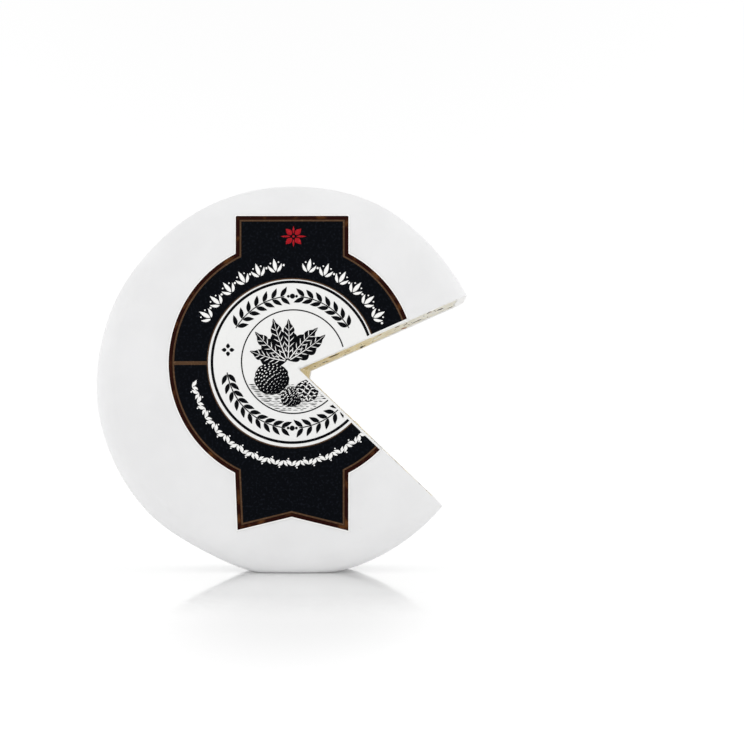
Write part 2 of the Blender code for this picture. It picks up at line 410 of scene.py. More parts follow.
@dataclass(frozen=True)
class PasteFinish(Finish):
    """Moist cut cheddar: cream yellow, clouded, paler at curds, with painted shade darkening the cracks,
    grey round truffle.
    """

    cream: Colour = (0.655, 0.560, 0.325)
    straw: Colour = (0.625, 0.508, 0.252)
    curd: Colour = (0.740, 0.690, 0.530)
    # deep is the colour of the painted shade in the cracks.
    deep: Colour = (0.540, 0.395, 0.110)
    grey: Colour = (0.330, 0.325, 0.270)
    milky: Colour = (0.640, 0.620, 0.540)
    cloud_size: float = 7 * MM
    lump_size: float = 2.6 * MM
    fine_size: float = 0.9 * MM
    grit_size: float = 0.3 * MM

    def paint(self, look: Look) -> dict[str, object]:
        """Its own clouds and fine lumps, then what the mesh stores.

        Args:
            look: The material's nodes.

        Returns:
            The shader's inputs.
        """
        clouds = look.noise(self.cloud_size, 3.0)
        fine = look.noise(self.fine_size, 4.0)
        lumps = look.cells(self.lump_size, "DISTANCE_TO_EDGE").step(0.0, 0.16)
        colour = look.blend((clouds * 0.7 + fine * 0.3).step(0.34, 0.66), self.straw, self.cream)
        for share, tone in (
            ((1 - lumps) * fine.step(0.4, 0.7) * 0.45, self.curd),
            (look.stored("curd") * fine.step(0.25, 0.6), self.curd),
            # Painted shade: the cracks darkened to a deeper yellow.
            (look.stored("crack") * 0.85, self.deep),
            (look.stored("film") * (0.55 + 0.9 * fine), self.milky),
            (look.stored("halo") * clouds.step(0.30, 0.62) * 0.75, self.grey),
        ):
            colour = look.blend(share, colour, tone)
        return {
            "IOR": 1.44,
            "Specular IOR Level": 0.35,
            "Subsurface Weight": 0.20,
            "Subsurface Radius": (1.0, 0.75, 0.40),
            "Subsurface Scale": MM,
            "Base Color": colour,
            "Roughness": 0.40 + 0.25 * fine,
            "Normal": look.bump(fine * 0.06 + look.noise(self.grit_size, 3.0) * 0.03, 0.8),
        }


@dataclass(frozen=True)
class BitFinish(Finish):
    """Something small in the paste: two colours mottled, with a rough surface."""

    dark: Colour
    light: Colour
    mottle: float
    roughness: float
    lean: float = 0.5
    gloss: float = 0.4

    def paint(self, look: Look) -> dict[str, object]:
        """Patches and grain, lighter where they are high.

        Args:
            look: The material's nodes.

        Returns:
            The shader's inputs.
        """
        patches = look.noise(self.mottle, 4.0, warp=0.8)
        grain = look.noise(self.mottle / 4, 3.0)
        share = (patches * 0.75 + grain * 0.25).step(self.lean - 0.12, self.lean + 0.16)
        return {
            "IOR": 1.45,
            "Specular IOR Level": self.gloss,
            "Base Color": look.blend(share, self.dark, self.light),
            "Roughness": self.roughness + 0.2 * grain,
            "Normal": look.bump(patches * 0.12 + grain * 0.05, 0.9),
        }


@dataclass(frozen=True)
class InkFinish(Finish):
    """Printed paper: one ink's colour, mottled with a second one, and the paper's tooth."""

    colour: Colour
    speck: Colour
    roughness: float = 0.5
    gloss: float = 0.04
    speckle: float = 0.5
    mottle: float = 0.5 * MM
    tooth_size: float = 0.35 * MM

    def paint(self, look: Look) -> dict[str, object]:
        """Specks of the second colour in the first, on a fine tooth.

        Args:
            look: The material's nodes.

        Returns:
            The shader's inputs.
        """
        tooth = look.noise(self.tooth_size, 3.0)
        specks = look.noise(self.mottle).step(0.52, 0.68) * self.speckle
        return {
            "IOR": 1.45,
            "Specular IOR Level": self.gloss,
            "Base Color": look.blend(specks, self.colour, self.speck),
            "Roughness": self.roughness + 0.15 * tooth,
            "Normal": look.bump(tooth * 0.008, 0.5),
        }


WAX = WaxFinish("poured_white_wax")
PASTE = PasteFinish("cut_truffle_cheddar")
TRUFFLE = BitFinish(
    "black_truffle", (0.0060, 0.0045, 0.0040), (0.105, 0.055, 0.030), 1.1 * MM, 0.55, 0.53, 0.12
)
SPECK = BitFinish("truffle_speck", (0.010, 0.008, 0.007), (0.10, 0.06, 0.035), 0.5 * MM, 0.5, 0.5, 0.15)
RUST = BitFinish("rusty_fleck", (0.16, 0.050, 0.010), (0.42, 0.17, 0.035), 0.7 * MM, 0.45)
CRYSTAL = BitFinish("milk_crystal", (0.72, 0.68, 0.56), (0.86, 0.85, 0.80), 0.4 * MM, 0.4)
PAPER = InkFinish("label_white_paper", (0.83, 0.83, 0.82), (0.80, 0.80, 0.79), 0.55, 0.35)
FIELD = InkFinish("label_black_field", (0.0012, 0.0018, 0.0032), (0.010, 0.012, 0.018), speckle=0.55)
BLACK = InkFinish("label_black_ink", (0.0015, 0.0020, 0.0030), (0.006, 0.007, 0.010))
WHITE = InkFinish("label_white_ink", (0.94, 0.935, 0.92), (0.90, 0.895, 0.88), 0.5, 0.3)
BRONZE = InkFinish(
    "label_bronze_ink", (0.0165, 0.0015, 0.0002), (0.095, 0.034, 0.008), 0.45, 0.06, 0.9, 4.0 * MM
)
COPPER = InkFinish("label_copper_ink", (0.085, 0.045, 0.023), (0.135, 0.078, 0.042), 0.45, 0.06, 0.8)
RED = InkFinish("label_red_ink", (0.35, 0.006, 0.012), (0.52, 0.02, 0.03), 0.5, 0.1, 0.8)


class Cut(Enum):
    """The two cuts of the missing wedge: direction from +X in degrees, and the side it opens to."""

    UPPER = (23.9, -1)
    LOWER = (-43.6, 1)

    @property
    def angle(self) -> float:
        """Direction in radians."""
        return math.radians(self.value[0])

    @property
    def along(self) -> Numbers:
        """Unit vector out along the cut."""
        return rays(self.angle)

    @property
    def normal(self) -> Numbers:
        """Unit vector from the cut into the missing wedge."""
        return rays(self.angle + self.value[1] * math.pi / 2)

    def own(self, marks: "Marks") -> list[tuple[float, ...]]:
        """The rows that belong to this cut."""
        return [row for owner, rows in marks if owner is self for row in rows]


Marks = tuple[tuple[Cut, tuple], ...]


@dataclass(frozen=True)
class WheelForm:
    """The wheel and its missing wedge, in the sizes of the solids.

    Each swell of the rim has its direction and spread in degrees and its height in millimetres.
    """

    radius: float = 42.1 * MM
    depth: float = 32.0 * MM
    axis_height: float = 41.0 * MM
    edge_round: float = 5.0 * MM
    tip_right: float = 1.53 * MM
    tip_up: float = 2.42 * MM
    broken_front: float = 0.1 * MM
    broken_back: float = 1.7 * MM
    corrections: int = 8
    swells: Rows = (
        (38.0, 10.0, -0.30), (65.0, 8.0, 0.35), (136.0, 9.0, -0.32), (192.0, 12.0, 0.25),
        (243.0, 10.0, -0.90),
    )

    @property
    def tip(self) -> Numbers:
        """The wedge's tip in the front view."""
        return np.array([self.tip_right, 0.0, self.axis_height + self.tip_up])

    def rim_radius(self, angle: Numbers) -> Numbers:
        """Radius in a direction from the axis: a circle plus a bell-shaped swell or dent each way.

        Args:
            angle: Directions in radians.

        Returns:
            Radii in metres.
        """
        total = np.full(np.shape(angle), self.radius)
        for towards, spread, swell in self.swells:
            away = np.remainder(angle - math.radians(towards) + math.pi, math.tau) - math.pi
            total = total + swell * MM * np.exp(-0.5 * (away / math.radians(spread)) ** 2)
        return total

    def reach(self, angle: Numbers | float) -> Numbers:
        """Distance from the tip to the rim: the radius, corrected by what the point there lacks.

        Args:
            angle: Directions from the tip, in radians from +X.

        Returns:
            Distances in metres.
        """
        far = np.full(np.shape(angle), self.radius)
        for _ in range(self.corrections):
            x = self.tip_right + far * np.cos(angle)
            z = self.tip_up + far * np.sin(angle)
            far = far + self.rim_radius(np.arctan2(z, x)) - np.hypot(x, z)
        return far

    def broken(self, across: Numbers) -> Numbers:
        """How far from the tip the cuts begin, growing evenly from front to back."""
        share = np.clip(across / self.depth + 0.5, 0.0, 1.0)
        return self.broken_front + (self.broken_back - self.broken_front) * share

    def on_cut(self, cut: Cut, out: Numbers, across: Numbers, lift: Numbers | float) -> Numbers:
        """Points on a cut: tip + out along it + across the depth + lift into the missing wedge."""
        out, across, lift = (part[..., None] for part in np.broadcast_arrays(out, across, lift))
        return self.tip + out * cut.along + across * np.array([0.0, 1.0, 0.0]) + lift * cut.normal

    def spokes(self, count: int, nose_steps: int) -> tuple[Numbers, Numbers]:
        """Directions round the solid from the upper cut to the lower, and the progress over the nose.

        Args:
            count: Number of spokes.
            nose_steps: Number of steps in which the spokes' beginnings cross the broken tip.

        Returns:
            Angles from the tip, and shares from 0 at the upper cut to 1 at the lower.
        """
        first, last = Cut.UPPER.angle, Cut.LOWER.angle + math.tau
        angles = np.linspace(first, last, count)
        share = np.clip((angles - first - math.pi / 2) / (last - first - math.pi), 0.0, 1.0)
        return angles, np.round(share * nose_steps) / nose_steps

    def fan(
        self, angles: Numbers, nose: Numbers, share: Numbers, inset: Numbers, across: Numbers
    ) -> Numbers:
        """A surface swept round the tip: spoke by section, each point between the nose and the rim.

        A point is (1 - share) of its place on the nose plus share of the point on its spoke that
        lies inset from the rim. The nose is the straight way between the cuts' beginnings.

        Args:
            angles: Direction of each spoke.
            nose: Progress of each spoke's beginning over the broken tip.
            share: For each section point, 0 at the nose to 1 at or near the rim.
            inset: For each section point, its distance from the rim along the spoke.
            across: For each section point, its place along Y.

        Returns:
            Array of spokes by section points by 3.
        """
        begin = self.broken(across)
        upper, lower = (self.on_cut(cut, begin, across, 0.0) for cut in Cut)
        inner = upper + (lower - upper) * nose[:, None, None]
        far = self.reach(angles)[:, None] - inset[None, :]
        outer = self.tip + far[..., None] * rays(angles)[:, None, :]
        outer[..., 1] = across[None, :]
        return inner + (outer - inner) * share[None, :, None]


class Hills:
    """Gentle unevenness in space: a sum of waves of seeded directions, each a sine of the place."""

    def __init__(self, seed: int, waves: Rows) -> None:
        """Draws a direction and a phase for each wave.

        Args:
            seed: Picks the directions and phases.
            waves: Length and height of each wave, in millimetres.
        """
        draw = np.random.default_rng(seed)
        lengths, self.heights = (np.array(waves) * MM).T
        aims = draw.normal(size=(len(waves), 3))
        self.vectors = aims / np.linalg.norm(aims, axis=1, keepdims=True) * (math.tau / lengths)[:, None]
        self.phases = draw.uniform(0.0, math.tau, len(waves))

    def depth(self, points: Numbers) -> Numbers:
        """How far the surface lies below its highest level, never less than nothing."""
        waves = np.sin(points @ self.vectors.T + self.phases) * self.heights
        return self.heights.sum() - waves.sum(-1)


@dataclass
class WaxCoat:
    """The poured coat: front face, rounded edge, rim and back as one skin with a real thickness."""

    form: WheelForm
    spokes: int = 260
    nose_steps: int = 6
    face_steps: int = 34
    round_steps: int = 9
    rim_steps: int = 18
    front_thick: Pair = (3.0 * MM, 2.4 * MM)
    rim_thick: float = 2.3 * MM
    back_thick: Pair = (2.4 * MM, 4.2 * MM)
    hills: Hills = field(default_factory=lambda: Hills(
        5, ((34.0, 0.045), (27.0, 0.040), (19.0, 0.025), (13.0, 0.014), (9.0, 0.008))
    ))
    foot_blend: float = 0.25 * MM
    crease: float = 40.0

    def section(self) -> dict[str, Numbers]:
        """The outer section from the front's nose round the rim to the back's nose.

        The faces are straight, the edges quarter circles: inset = r(1 - sin a), across = r(1 - cos a).
        The thickness runs from the nose's to the rim's along the faces, and turns over the edges.

        Returns:
            Arrays share, inset, across, lean (sine of the normal's turn to the rim), way (its part
            along Y) and thick, one number for each section point.
        """
        middle, edge = self.form.depth / 2 - self.form.edge_round, self.form.edge_round
        run = np.linspace(0.0, 1.0, self.face_steps, endpoint=False)
        turn = np.linspace(0.0, math.pi / 2, self.round_steps + 1)
        wall = np.linspace(-1.0, 1.0, self.rim_steps + 1)[1:-1]
        ones, zeros = np.ones_like, np.zeros_like
        share = np.concatenate([run, ones(turn), ones(wall), ones(turn), run[::-1]])
        lean = np.concatenate([zeros(run), np.sin(turn), ones(wall), np.sin(turn)[::-1], zeros(run)])
        way = np.concatenate([-ones(run), -np.cos(turn), zeros(wall), np.cos(turn)[::-1], ones(run)])
        side = np.full(len(run) + len(turn), middle)
        front, back = (tip + (rim - tip) * share for tip, rim in (self.front_thick, self.back_thick))
        sides = np.where(way < 0, front, back)
        return {
            "share": share,
            "inset": edge * (1 - lean),
            "across": way * edge + np.concatenate([-side, wall * middle, side]),
            "lean": lean,
            "way": way,
            "thick": sides + (self.rim_thick - sides) * smoothstep(0.0, 1.0, lean),
        }

    def on_cut(self, cut: Cut, below: Numbers | float) -> tuple[Numbers, Numbers]:
        """The section's line on a cut, some way below the outer surface.

        Args:
            cut: Which cut.
            below: How far below: one number, or one for each point of the section.

        Returns:
            Places out from the tip, and places along Y.
        """
        cross = self.section()
        across = cross["across"] - below * cross["way"]
        far = self.form.reach(cut.angle) - cross["inset"] - below * cross["lean"]
        return (1 - cross["share"]) * self.form.broken(across) + cross["share"] * far, across

    def front(self, x: Numbers, z: Numbers) -> Numbers:
        """Where the front face stands along Y at a place."""
        face = -self.form.depth / 2
        return face + self.hills.depth(np.stack([x, np.full(np.shape(x), face), z], -1))

    def outer_skin(self, angles: Numbers, nose: Numbers) -> Numbers:
        """The outer surface, pressed inwards by the hills and flat at the foot.

        The foot is a smooth maximum with the floor: z' = (z + sqrt(z² + k²)) / 2.

        Args:
            angles: Direction of each spoke.
            nose: Progress of each spoke over the broken tip.

        Returns:
            Array of spokes by section points by 3.
        """
        cross = self.section()
        points = self.form.fan(angles, nose, cross["share"], cross["inset"], cross["across"])
        depth = self.hills.depth(points)
        points = points - rays(angles)[:, None, :] * (cross["lean"] * depth)[..., None]
        points[..., 1] -= cross["way"] * depth
        height = points[..., 2]
        points[..., 2] = 0.5 * (height + np.hypot(height, self.foot_blend))
        return points

    def inner_skin(self, angles: Numbers, nose: Numbers) -> Numbers:
        """The inner surface: the section less the thickness along its normal, above the foot.

        Args:
            angles: Direction of each spoke.
            nose: Progress of each spoke over the broken tip.

        Returns:
            Array of spokes by section points by 3.
        """
        cross = self.section()
        inset = cross["inset"] + cross["thick"] * cross["lean"]
        across = cross["across"] - cross["thick"] * cross["way"]
        points = self.form.fan(angles, nose, cross["share"], inset, across)
        points[..., 2] = np.maximum(points[..., 2], self.rim_thick)
        return points

    def build(self, finish: Material) -> Object:
        """Makes the coat: both skins joined at the nose, and a wall of wax at either cut.

        Args:
            finish: The wax.

        Returns:
            The piece.
        """
        angles, nose = self.form.spokes(self.spokes, self.nose_steps)
        outer, inner = self.outer_skin(angles, nose), self.inner_skin(angles, nose)
        shell = Shell()
        shell.grid(np.concatenate([outer, inner[:, ::-1]], axis=1), closed=True)
        for end in (0, -1):
            shell.grid(np.stack([outer[end], inner[end]]))
        coat = shell.piece("wax_shell", finish)
        coat.data.set_sharp_from_angle(angle=math.radians(self.crease))
        return settle(coat, "wax_coat")


@dataclass(frozen=True)
class Fleck:
    """Something in the paste where it shows on a cut: place and half lengths, in metres."""

    cut: Cut
    out: float
    inside: float
    long: float
    wide: float
    turn: float = 0.0


def flecks_of(marks: Marks) -> list[Fleck]:
    """Flecks from rows of millimetres out, inside, long and wide, some with a turn in radians."""
    return [Fleck(cut, *(size * MM for size in row[:4]), *row[4:]) for cut, rows in marks for row in rows]


def bell(value: Numbers) -> Numbers:
    """Falls from 1 at nothing to 0 far out, along e^-v²."""
    return np.exp(-(value ** 2))


def noises(x: Numbers, y: Numbers, layers: Rows, seed: int = 0) -> Numbers:
    """Soft noises added up, each with its cell in millimetres, its height and its own seed."""
    return sum(height * soft_noise(x, y, size * MM, seed + own) for size, height, own in layers)


@dataclass
class CutPaste:
    """The paste: both cuts as a fine uneven sheet with the broken tip between, over a plain body.

    A wave has its lengths out and across, its phase and its height; a layer of noise its cell, its
    height and its seed; a groove its depth and its half width; a swell its place out and inside,
    its radius and its height; a crack its corners out and inside. All lengths in these rows are in
    millimetres.
    """

    form: WheelForm
    coat: WaxCoat
    columns: int = 190
    rows: int = 124
    nose_steps: int = 8
    body_spokes: int = 41
    embed: float = 0.25 * MM
    recess: float = 0.16 * MM
    film_reach: Pair = (12.0 * MM, 30.0 * MM)
    near_cut: float = 1.5 * MM
    halo_width: float = 0.5 * MM
    crack_shade_width: float = 0.55 * MM
    edge_slope: float = 0.9 * MM
    sink: float = 0.14 * MM
    tear: float = 0.25 * MM
    waver: float = 0.45 * MM
    waves: Rows = ((11.0, 17.0, 0.6, 0.06), (6.3, -8.1, 2.1, 0.05), (3.9, 5.2, 4.0, 0.04))
    crags_a_cut: int = 11
    crag_margins: Pair = (2.8 * MM, 3.6 * MM)
    crag_radius: Pair = (1.2 * MM, 2.6 * MM)
    crag_depth: Pair = (0.25 * MM, 0.6 * MM)
    seed: int = 11
    flat: Rows = ((2.3, 0.035, 34), (0.4, 0.012, 35))
    crumb: Rows = ((1.3, 0.10, 32), (0.55, 0.07, 33))
    rough_size: float = 6.5 * MM
    rough_reach: float = 1.4 * MM
    grooves: Rows = ((0.32, 0.20), (0.10, 0.6))
    cracks: Marks = (
        (Cut.LOWER, (
            ((14.2, 7.4), (12.4, 9.0), (9.6, 10.2), (7.4, 12.0), (4.6, 14.0), (3.2, 16.2)),
            ((1.6, 25.4), (3.2, 26.8), (6.0, 28.0), (10.2, 28.2), (14.2, 28.9)),
            ((35.6, 17.8), (37.4, 19.0), (39.0, 19.4)),
        )),
        (Cut.UPPER, (
            ((3.0, 8.0), (6.2, 9.4), (8.4, 12.6), (12.8, 14.0), (15.6, 17.4)),
            ((22.0, 26.6), (26.4, 24.8), (29.8, 25.6), (34.6, 23.0)),
        )),
    )
    swells: Marks = (
        (Cut.LOWER, ((2.6, 9.0, 1.5, 0.42), (10.0, 10.6, 1.4, 0.30), (17.6, 14.0, 2.2, 0.26))),
    )

    def __post_init__(self) -> None:
        """Draws the torn spots of both cuts, as the solids have them, and adds the swells."""
        self.draw = random.Random(self.seed)
        self.spots = {cut: [self.crag() for _ in range(self.crags_a_cut)] for cut in Cut}
        for cut, rows in self.swells:
            sizes = np.array(rows) * MM - (0.0, self.form.depth / 2, 0.0, 0.0)
            self.spots[cut] += [tuple(size) for size in sizes]

    def crag(self) -> tuple[float, float, float, float]:
        """Draws one torn spot.

        Returns:
            Its place out and across, its radius, and its height, less than nothing.
        """
        out, front, back = self.draw.uniform(0.0, self.form.radius), *self.crag_margins
        across = self.draw.uniform(front, self.form.depth - back) - self.form.depth / 2
        return out, across, self.draw.uniform(*self.crag_radius), -self.draw.uniform(*self.crag_depth)

    def crack(self, cut: Cut, out: Numbers, across: Numbers) -> Numbers:
        """Distance from the nearest crack, as places waver by soft noise.

        Args:
            cut: Which cut.
            out: Distance from the tip.
            across: Place along Y.

        Returns:
            Distances in metres.
        """
        inside = across + self.form.depth / 2
        x = out + self.waver * soft_noise(out, inside, 1.1 * MM, 21)
        y = inside + self.waver * soft_noise(out, inside, 1.1 * MM, 22)
        paths = (np.array(path) * MM for path in cut.own(self.cracks))
        return np.minimum.reduce([distance_to_path(x, y, path) for path in paths])

    def relief(self, cut: Cut, out: Numbers, across: Numbers) -> Numbers:
        """Height of the paste over a cut's plane.

        Crossing waves less a smooth hollow at each torn spot, as in the solids; then low swells,
        grooves along the cracks, and crumb that is rough only in patches and near the cracks.

        Args:
            cut: Which cut.
            out: Distance from the tip.
            across: Place along Y.

        Returns:
            Heights in metres.
        """
        height = np.full(np.shape(out), -self.sink)
        for length_out, length_across, phase, size in self.waves:
            turn = math.tau * (out / (length_out * MM) + across / (length_across * MM))
            height = height + size * MM * np.sin(turn + phase + cut.angle)
        for spot_out, spot_across, radius, size in self.spots[cut]:
            height = height + size * bell(np.hypot(out - spot_out, across - spot_across) / radius)
        crack = self.crack(cut, out, across)
        patches = smoothstep(0.0, 0.7, soft_noise(out, across, self.rough_size, 31))
        crumb = noises(out, across, self.crumb) * (patches + bell(crack / self.rough_reach))
        groove = sum(deep * bell(crack / (wide * MM)) for deep, wide in self.grooves)
        return height + MM * (noises(out, across, self.flat) + crumb - groove)

    def limits(self, cut: Cut) -> tuple[Numbers, Numbers, Numbers]:
        """The paste's edge on a cut, just inside the wax.

        Args:
            cut: Which cut.

        Returns:
            Places out from the tip, and where the front and the back edge lie there along Y.
        """
        out, across = self.coat.on_cut(cut, self.coat.section()["thick"] - self.embed)
        half = len(out) // 2
        places = np.linspace(0.0, 1.0, self.columns) * out.max()
        front = np.interp(places, out[:half + 1], across[:half + 1])
        back = np.interp(places, out[half:][::-1], across[half:][::-1])
        return places, front, back

    def lift(self, cut: Cut, out: Numbers, across: Numbers) -> Numbers:
        """The relief, sinking to a shallow recess at the wax.

        Args:
            cut: Which cut.
            out: Distance from the tip.
            across: Place along Y.

        Returns:
            Heights in metres.
        """
        places, front, back = self.limits(cut)
        from_front = across - np.interp(out, places, front)
        from_back = np.interp(out, places, back) - across
        inside = np.minimum(np.minimum(from_front, from_back), places[-1] - out)
        share = smoothstep(0.0, self.edge_slope, inside)
        return self.relief(cut, out, across) * share - self.recess * (1 - share)

    def sheet(self, cut: Cut) -> Numbers:
        """One cut's surface: even steps out from the broken tip and from front to back, with the lift.

        Args:
            cut: Which cut.

        Returns:
            Array of columns out from the nose by rows from front to back by 3.
        """
        places, front, back = self.limits(cut)
        across = front[:, None] + (back - front)[:, None] * np.linspace(0.0, 1.0, self.rows)[None, :]
        begin = self.form.broken(across)
        out = begin + (places[-1] - begin) * np.linspace(0.0, 1.0, self.columns)[:, None]
        return self.form.on_cut(cut, out, across, self.lift(cut, out, across))

    def build(self, finish: Material, flecks: list[Fleck], pale: list[Fleck]) -> Object:
        """Makes the paste and stores where it is paler, darker with painted shade in the cracks, and greyer.

        The broken tip is the straight way from one cut's sheet to the other's, torn by soft noise.

        Args:
            finish: The paste.
            flecks: The truffle bits, which grey what is round them.
            pale: Patches of whiter curd.

        Returns:
            The piece.
        """
        upper, lower = (self.sheet(cut) for cut in Cut)
        bridge = np.linspace(0.0, 1.0, self.nose_steps + 1)[:, None, None]
        nose = upper[0] * (1 - bridge) + lower[0] * bridge
        across = upper[0, 1:-1, 1]
        ragged = soft_noise(across, across, 1.2 * MM, 41)[None, :, None]
        nose[:, 1:-1] += self.tear * np.sin(bridge * math.pi) * ragged * np.array([1.0, 0.0, 0.2])
        shell = Shell()
        shell.grid(np.concatenate([upper[::-1], nose[1:-1], lower]))
        shell.grid(self.body(upper, nose, lower))
        paste = shell.piece("cut_paste", finish)
        self.store(paste, flecks, pale)
        return settle(paste, "cheddar")

    def body(self, upper: Numbers, nose: Numbers, lower: Numbers) -> Numbers:
        """The hidden body: the cuts' outline swept round the tip, from one cut's edge to the other's.

        Args:
            upper: The upper cut's sheet.
            nose: The sheet over the broken tip.
            lower: The lower cut's sheet.

        Returns:
            Array of spokes by outline points by 3.
        """
        places, front, back = self.limits(Cut.UPPER)
        across = np.concatenate([front, np.linspace(front[-1], back[-1], self.rows)[1:-1], back[::-1]])
        share = np.concatenate([places, np.full(self.rows - 2, places[-1]), places[::-1]]) / places[-1]
        angles, progress = self.form.spokes(self.body_spokes, self.nose_steps)
        inset = np.full(share.shape, self.coat.rim_thick - self.embed)
        spokes = self.form.fan(angles, progress, share, inset, across)
        spokes[..., 2] = np.maximum(spokes[..., 2], inset[0])
        steps = np.round(progress * self.nose_steps).astype(int)
        spokes[:, 0], spokes[:, -1] = nose[steps, 0], nose[steps, -1]
        for spoke, sheet in ((0, upper), (-1, lower)):
            spokes[spoke] = np.concatenate([sheet[:, 0], sheet[-1, 1:-1], sheet[::-1, -1]])
        return spokes

    def store(self, paste: Object, flecks: list[Fleck], pale: list[Fleck]) -> None:
        """Stores halo, curd, crack and film, each from 0 to 1: bells round what makes them; crack is painted
        shade along the cracks.

        Args:
            paste: The piece.
            flecks: The truffle bits.
            pale: The patches of curd.
        """
        found = np.zeros((len(paste.data.vertices), 3), np.float32)
        paste.data.vertices.foreach_get("co", found.ravel())
        away = found - self.form.tip
        stores = {name: np.zeros(len(away)) for name in ("halo", "curd", "crack", "film")}
        for cut in Cut:
            out, inside = away @ cut.along, away[:, 1] + self.form.depth / 2
            near = np.abs(away @ cut.normal) < self.near_cut
            for name, marks, grown in (("halo", flecks, self.halo_width), ("curd", pale, 0.0)):
                for mark in (mark for mark in marks if mark.cut is cut):
                    x = (out - mark.out) / (mark.long + grown)
                    y = (inside - mark.inside) / (mark.wide + grown)
                    spot = np.exp(-1.2 * (x * x + y * y) ** 1.2) * near
                    stores[name] = np.maximum(stores[name], spot)
            # Painted shade: a bell along the cracks' grooves that darkens the paste there.
            crack = bell(self.crack(cut, out, away[:, 1]) / self.crack_shade_width) * near
            stores["crack"] = np.maximum(stores["crack"], crack)
            if cut is Cut.UPPER:
                stores["film"] = smoothstep(*self.film_reach, out) * near
        for name, values in stores.items():
            layer = paste.data.attributes.new(name, "FLOAT", "POINT")
            layer.data.foreach_set("value", values.astype(np.float32))


@dataclass
class WaxSmear:
    """The film of wax that the knife dragged over the paste, with a ragged edge of lobes and cusps.

    Reaches and rows are in millimetres: a layer of ragged or waver has its cell, its height and its
    own seed, and a cusp its place along the outline, its size and its half width.
    """

    form: WheelForm
    coat: WaxCoat
    paste: CutPaste
    step: float = 0.16 * MM
    rows: int = 12
    start: float = 1.2 * MM
    film: float = 0.10 * MM
    under: float = 0.30 * MM
    dip: float = 0.12 * MM
    lip: float = 0.10 * MM
    over: float = 0.5 * MM
    ragged: Rows = ((0.9, 0.13, 0), (0.35, 0.06, 1))
    front_reach: float = 0.25
    front_waver: Rows = ((2.6, 0.22, 2),)
    other_reach: float = 0.18
    other_waver: Rows = ((1.7, 0.16, 3),)
    seed: int = 51
    seed_step: int = 10
    cusps: Marks = (
        (Cut.LOWER, (
            (0.2, 1.2, 0.9), (4.3, 2.0, 0.50), (8.8, 3.0, 0.42), (11.4, 1.6, 2.6), (13.1, 0.9, 0.55),
            (22.4, 0.5, 2.0), (26.6, 0.7, 0.5), (33.3, 0.4, 0.6),
        )),
        (Cut.UPPER, (
            (1.0, 1.0, 0.9), (5.2, 1.6, 0.45), (7.9, 2.4, 0.55), (11.6, 1.0, 2.0), (17.3, 1.9, 0.50),
            (24.4, 0.6, 2.4), (31.2, 1.1, 0.60),
        )),
    )

    def reach(self, cut: Cut, along: Numbers, way: Numbers) -> Numbers:
        """How far the film reaches over the paste.

        At the front, cusps of wax between rounded lobes of bare paste: the sum of size times
        e^-(|distance| / half width)^1.2. At the rim and back it only wavers a little.

        Args:
            cut: Which cut.
            along: Distance along the outline.
            way: The outline normal's part along Y.

        Returns:
            Distances in metres.
        """
        seed = self.seed + self.seed_step * list(Cut).index(cut)
        fine, front, other = (
            noises(along, np.zeros_like(along), layers, seed)
            for layers in (self.ragged, self.front_waver, self.other_waver)
        )
        front = self.front_reach + front + fine
        for place, size, half in cut.own(self.cusps):
            front = front + size * np.exp(-(np.abs(along / MM - place) / half) ** 1.2)
        other = self.other_reach + other + fine * 0.6
        return MM * (other + (front - other) * smoothstep(0.2, 0.9, -way))

    def outline(self, cut: Cut) -> dict[str, Numbers]:
        """The cut's outer outline at even steps along it.

        Args:
            cut: Which cut.

        Returns:
            Arrays along and out, and those of the section.
        """
        out, across = self.coat.on_cut(cut, 0.0)
        along = np.concatenate([[0.0], np.cumsum(np.hypot(np.diff(out), np.diff(across)))])
        even = np.arange(0.0, along[-1], self.step)
        line = {**self.coat.section(), "out": out}
        return {"along": even, **{name: np.interp(even, along, values) for name, values in line.items()}}

    def build(self, cut: Cut, finish: Material) -> Object:
        """Makes the film on one cut, as a closed skin.

        Its rows run from within the wax to the ragged edge. It lies a film's thickness over the
        paste, sinks into the wax at its beginning, and rolls under at its edge.

        Args:
            cut: Which cut.
            finish: The wax.

        Returns:
            The piece.
        """
        line = self.outline(cut)
        thick = line["thick"][:, None]
        row = np.linspace(0.0, 1.0, self.rows)[None, :]
        end = thick + self.reach(cut, line["along"], line["way"])[:, None]
        inwards = thick - self.start + (end - (thick - self.start)) * row
        length = np.hypot(line["lean"], line["way"])
        out = line["out"][:, None] - inwards * (line["lean"] / length)[:, None]
        across = line["across"][:, None] - inwards * (line["way"] / length)[:, None]
        out = np.maximum(out, self.form.broken(across))
        ground = np.maximum(self.paste.lift(cut, out, across), -0.05 * MM)
        over_paste = smoothstep(0.0, self.over, inwards - thick)
        edge = np.sqrt(np.clip(1 - row ** 6, 0.0, 1.0))
        top = ground * over_paste + self.film * (0.35 + 0.65 * over_paste) * edge
        top = top - self.dip * (1 - smoothstep(0.0, 0.25, row)) - self.lip * (row == 1.0)
        bottom = np.minimum(top, ground) - self.under * (0.2 + 0.8 * np.sin(row * math.pi))
        upper, lower = (self.form.on_cut(cut, out, across, lift) for lift in (top, bottom))
        shell = Shell()
        shell.grid(np.concatenate([upper, lower[:, ::-1]], axis=1), closed=True)
        for last in (0, -1):
            shell.grid(np.stack([upper[last], lower[last]]))
        return settle(shell.piece(f"wax_smear_{cut.name.lower()}", finish), "wax_coat")


class Kind(Enum):
    """What lies in the paste: its name as a piece, the sides and rings of one, and its finish."""

    TRUFFLE = ("truffle_bits", 22, 13, TRUFFLE)
    SPECK = ("truffle_specks", 8, 6, SPECK)
    RUST = ("rust_flecks", 12, 8, RUST)
    CRYSTAL = ("milk_crystals", 8, 6, CRYSTAL)


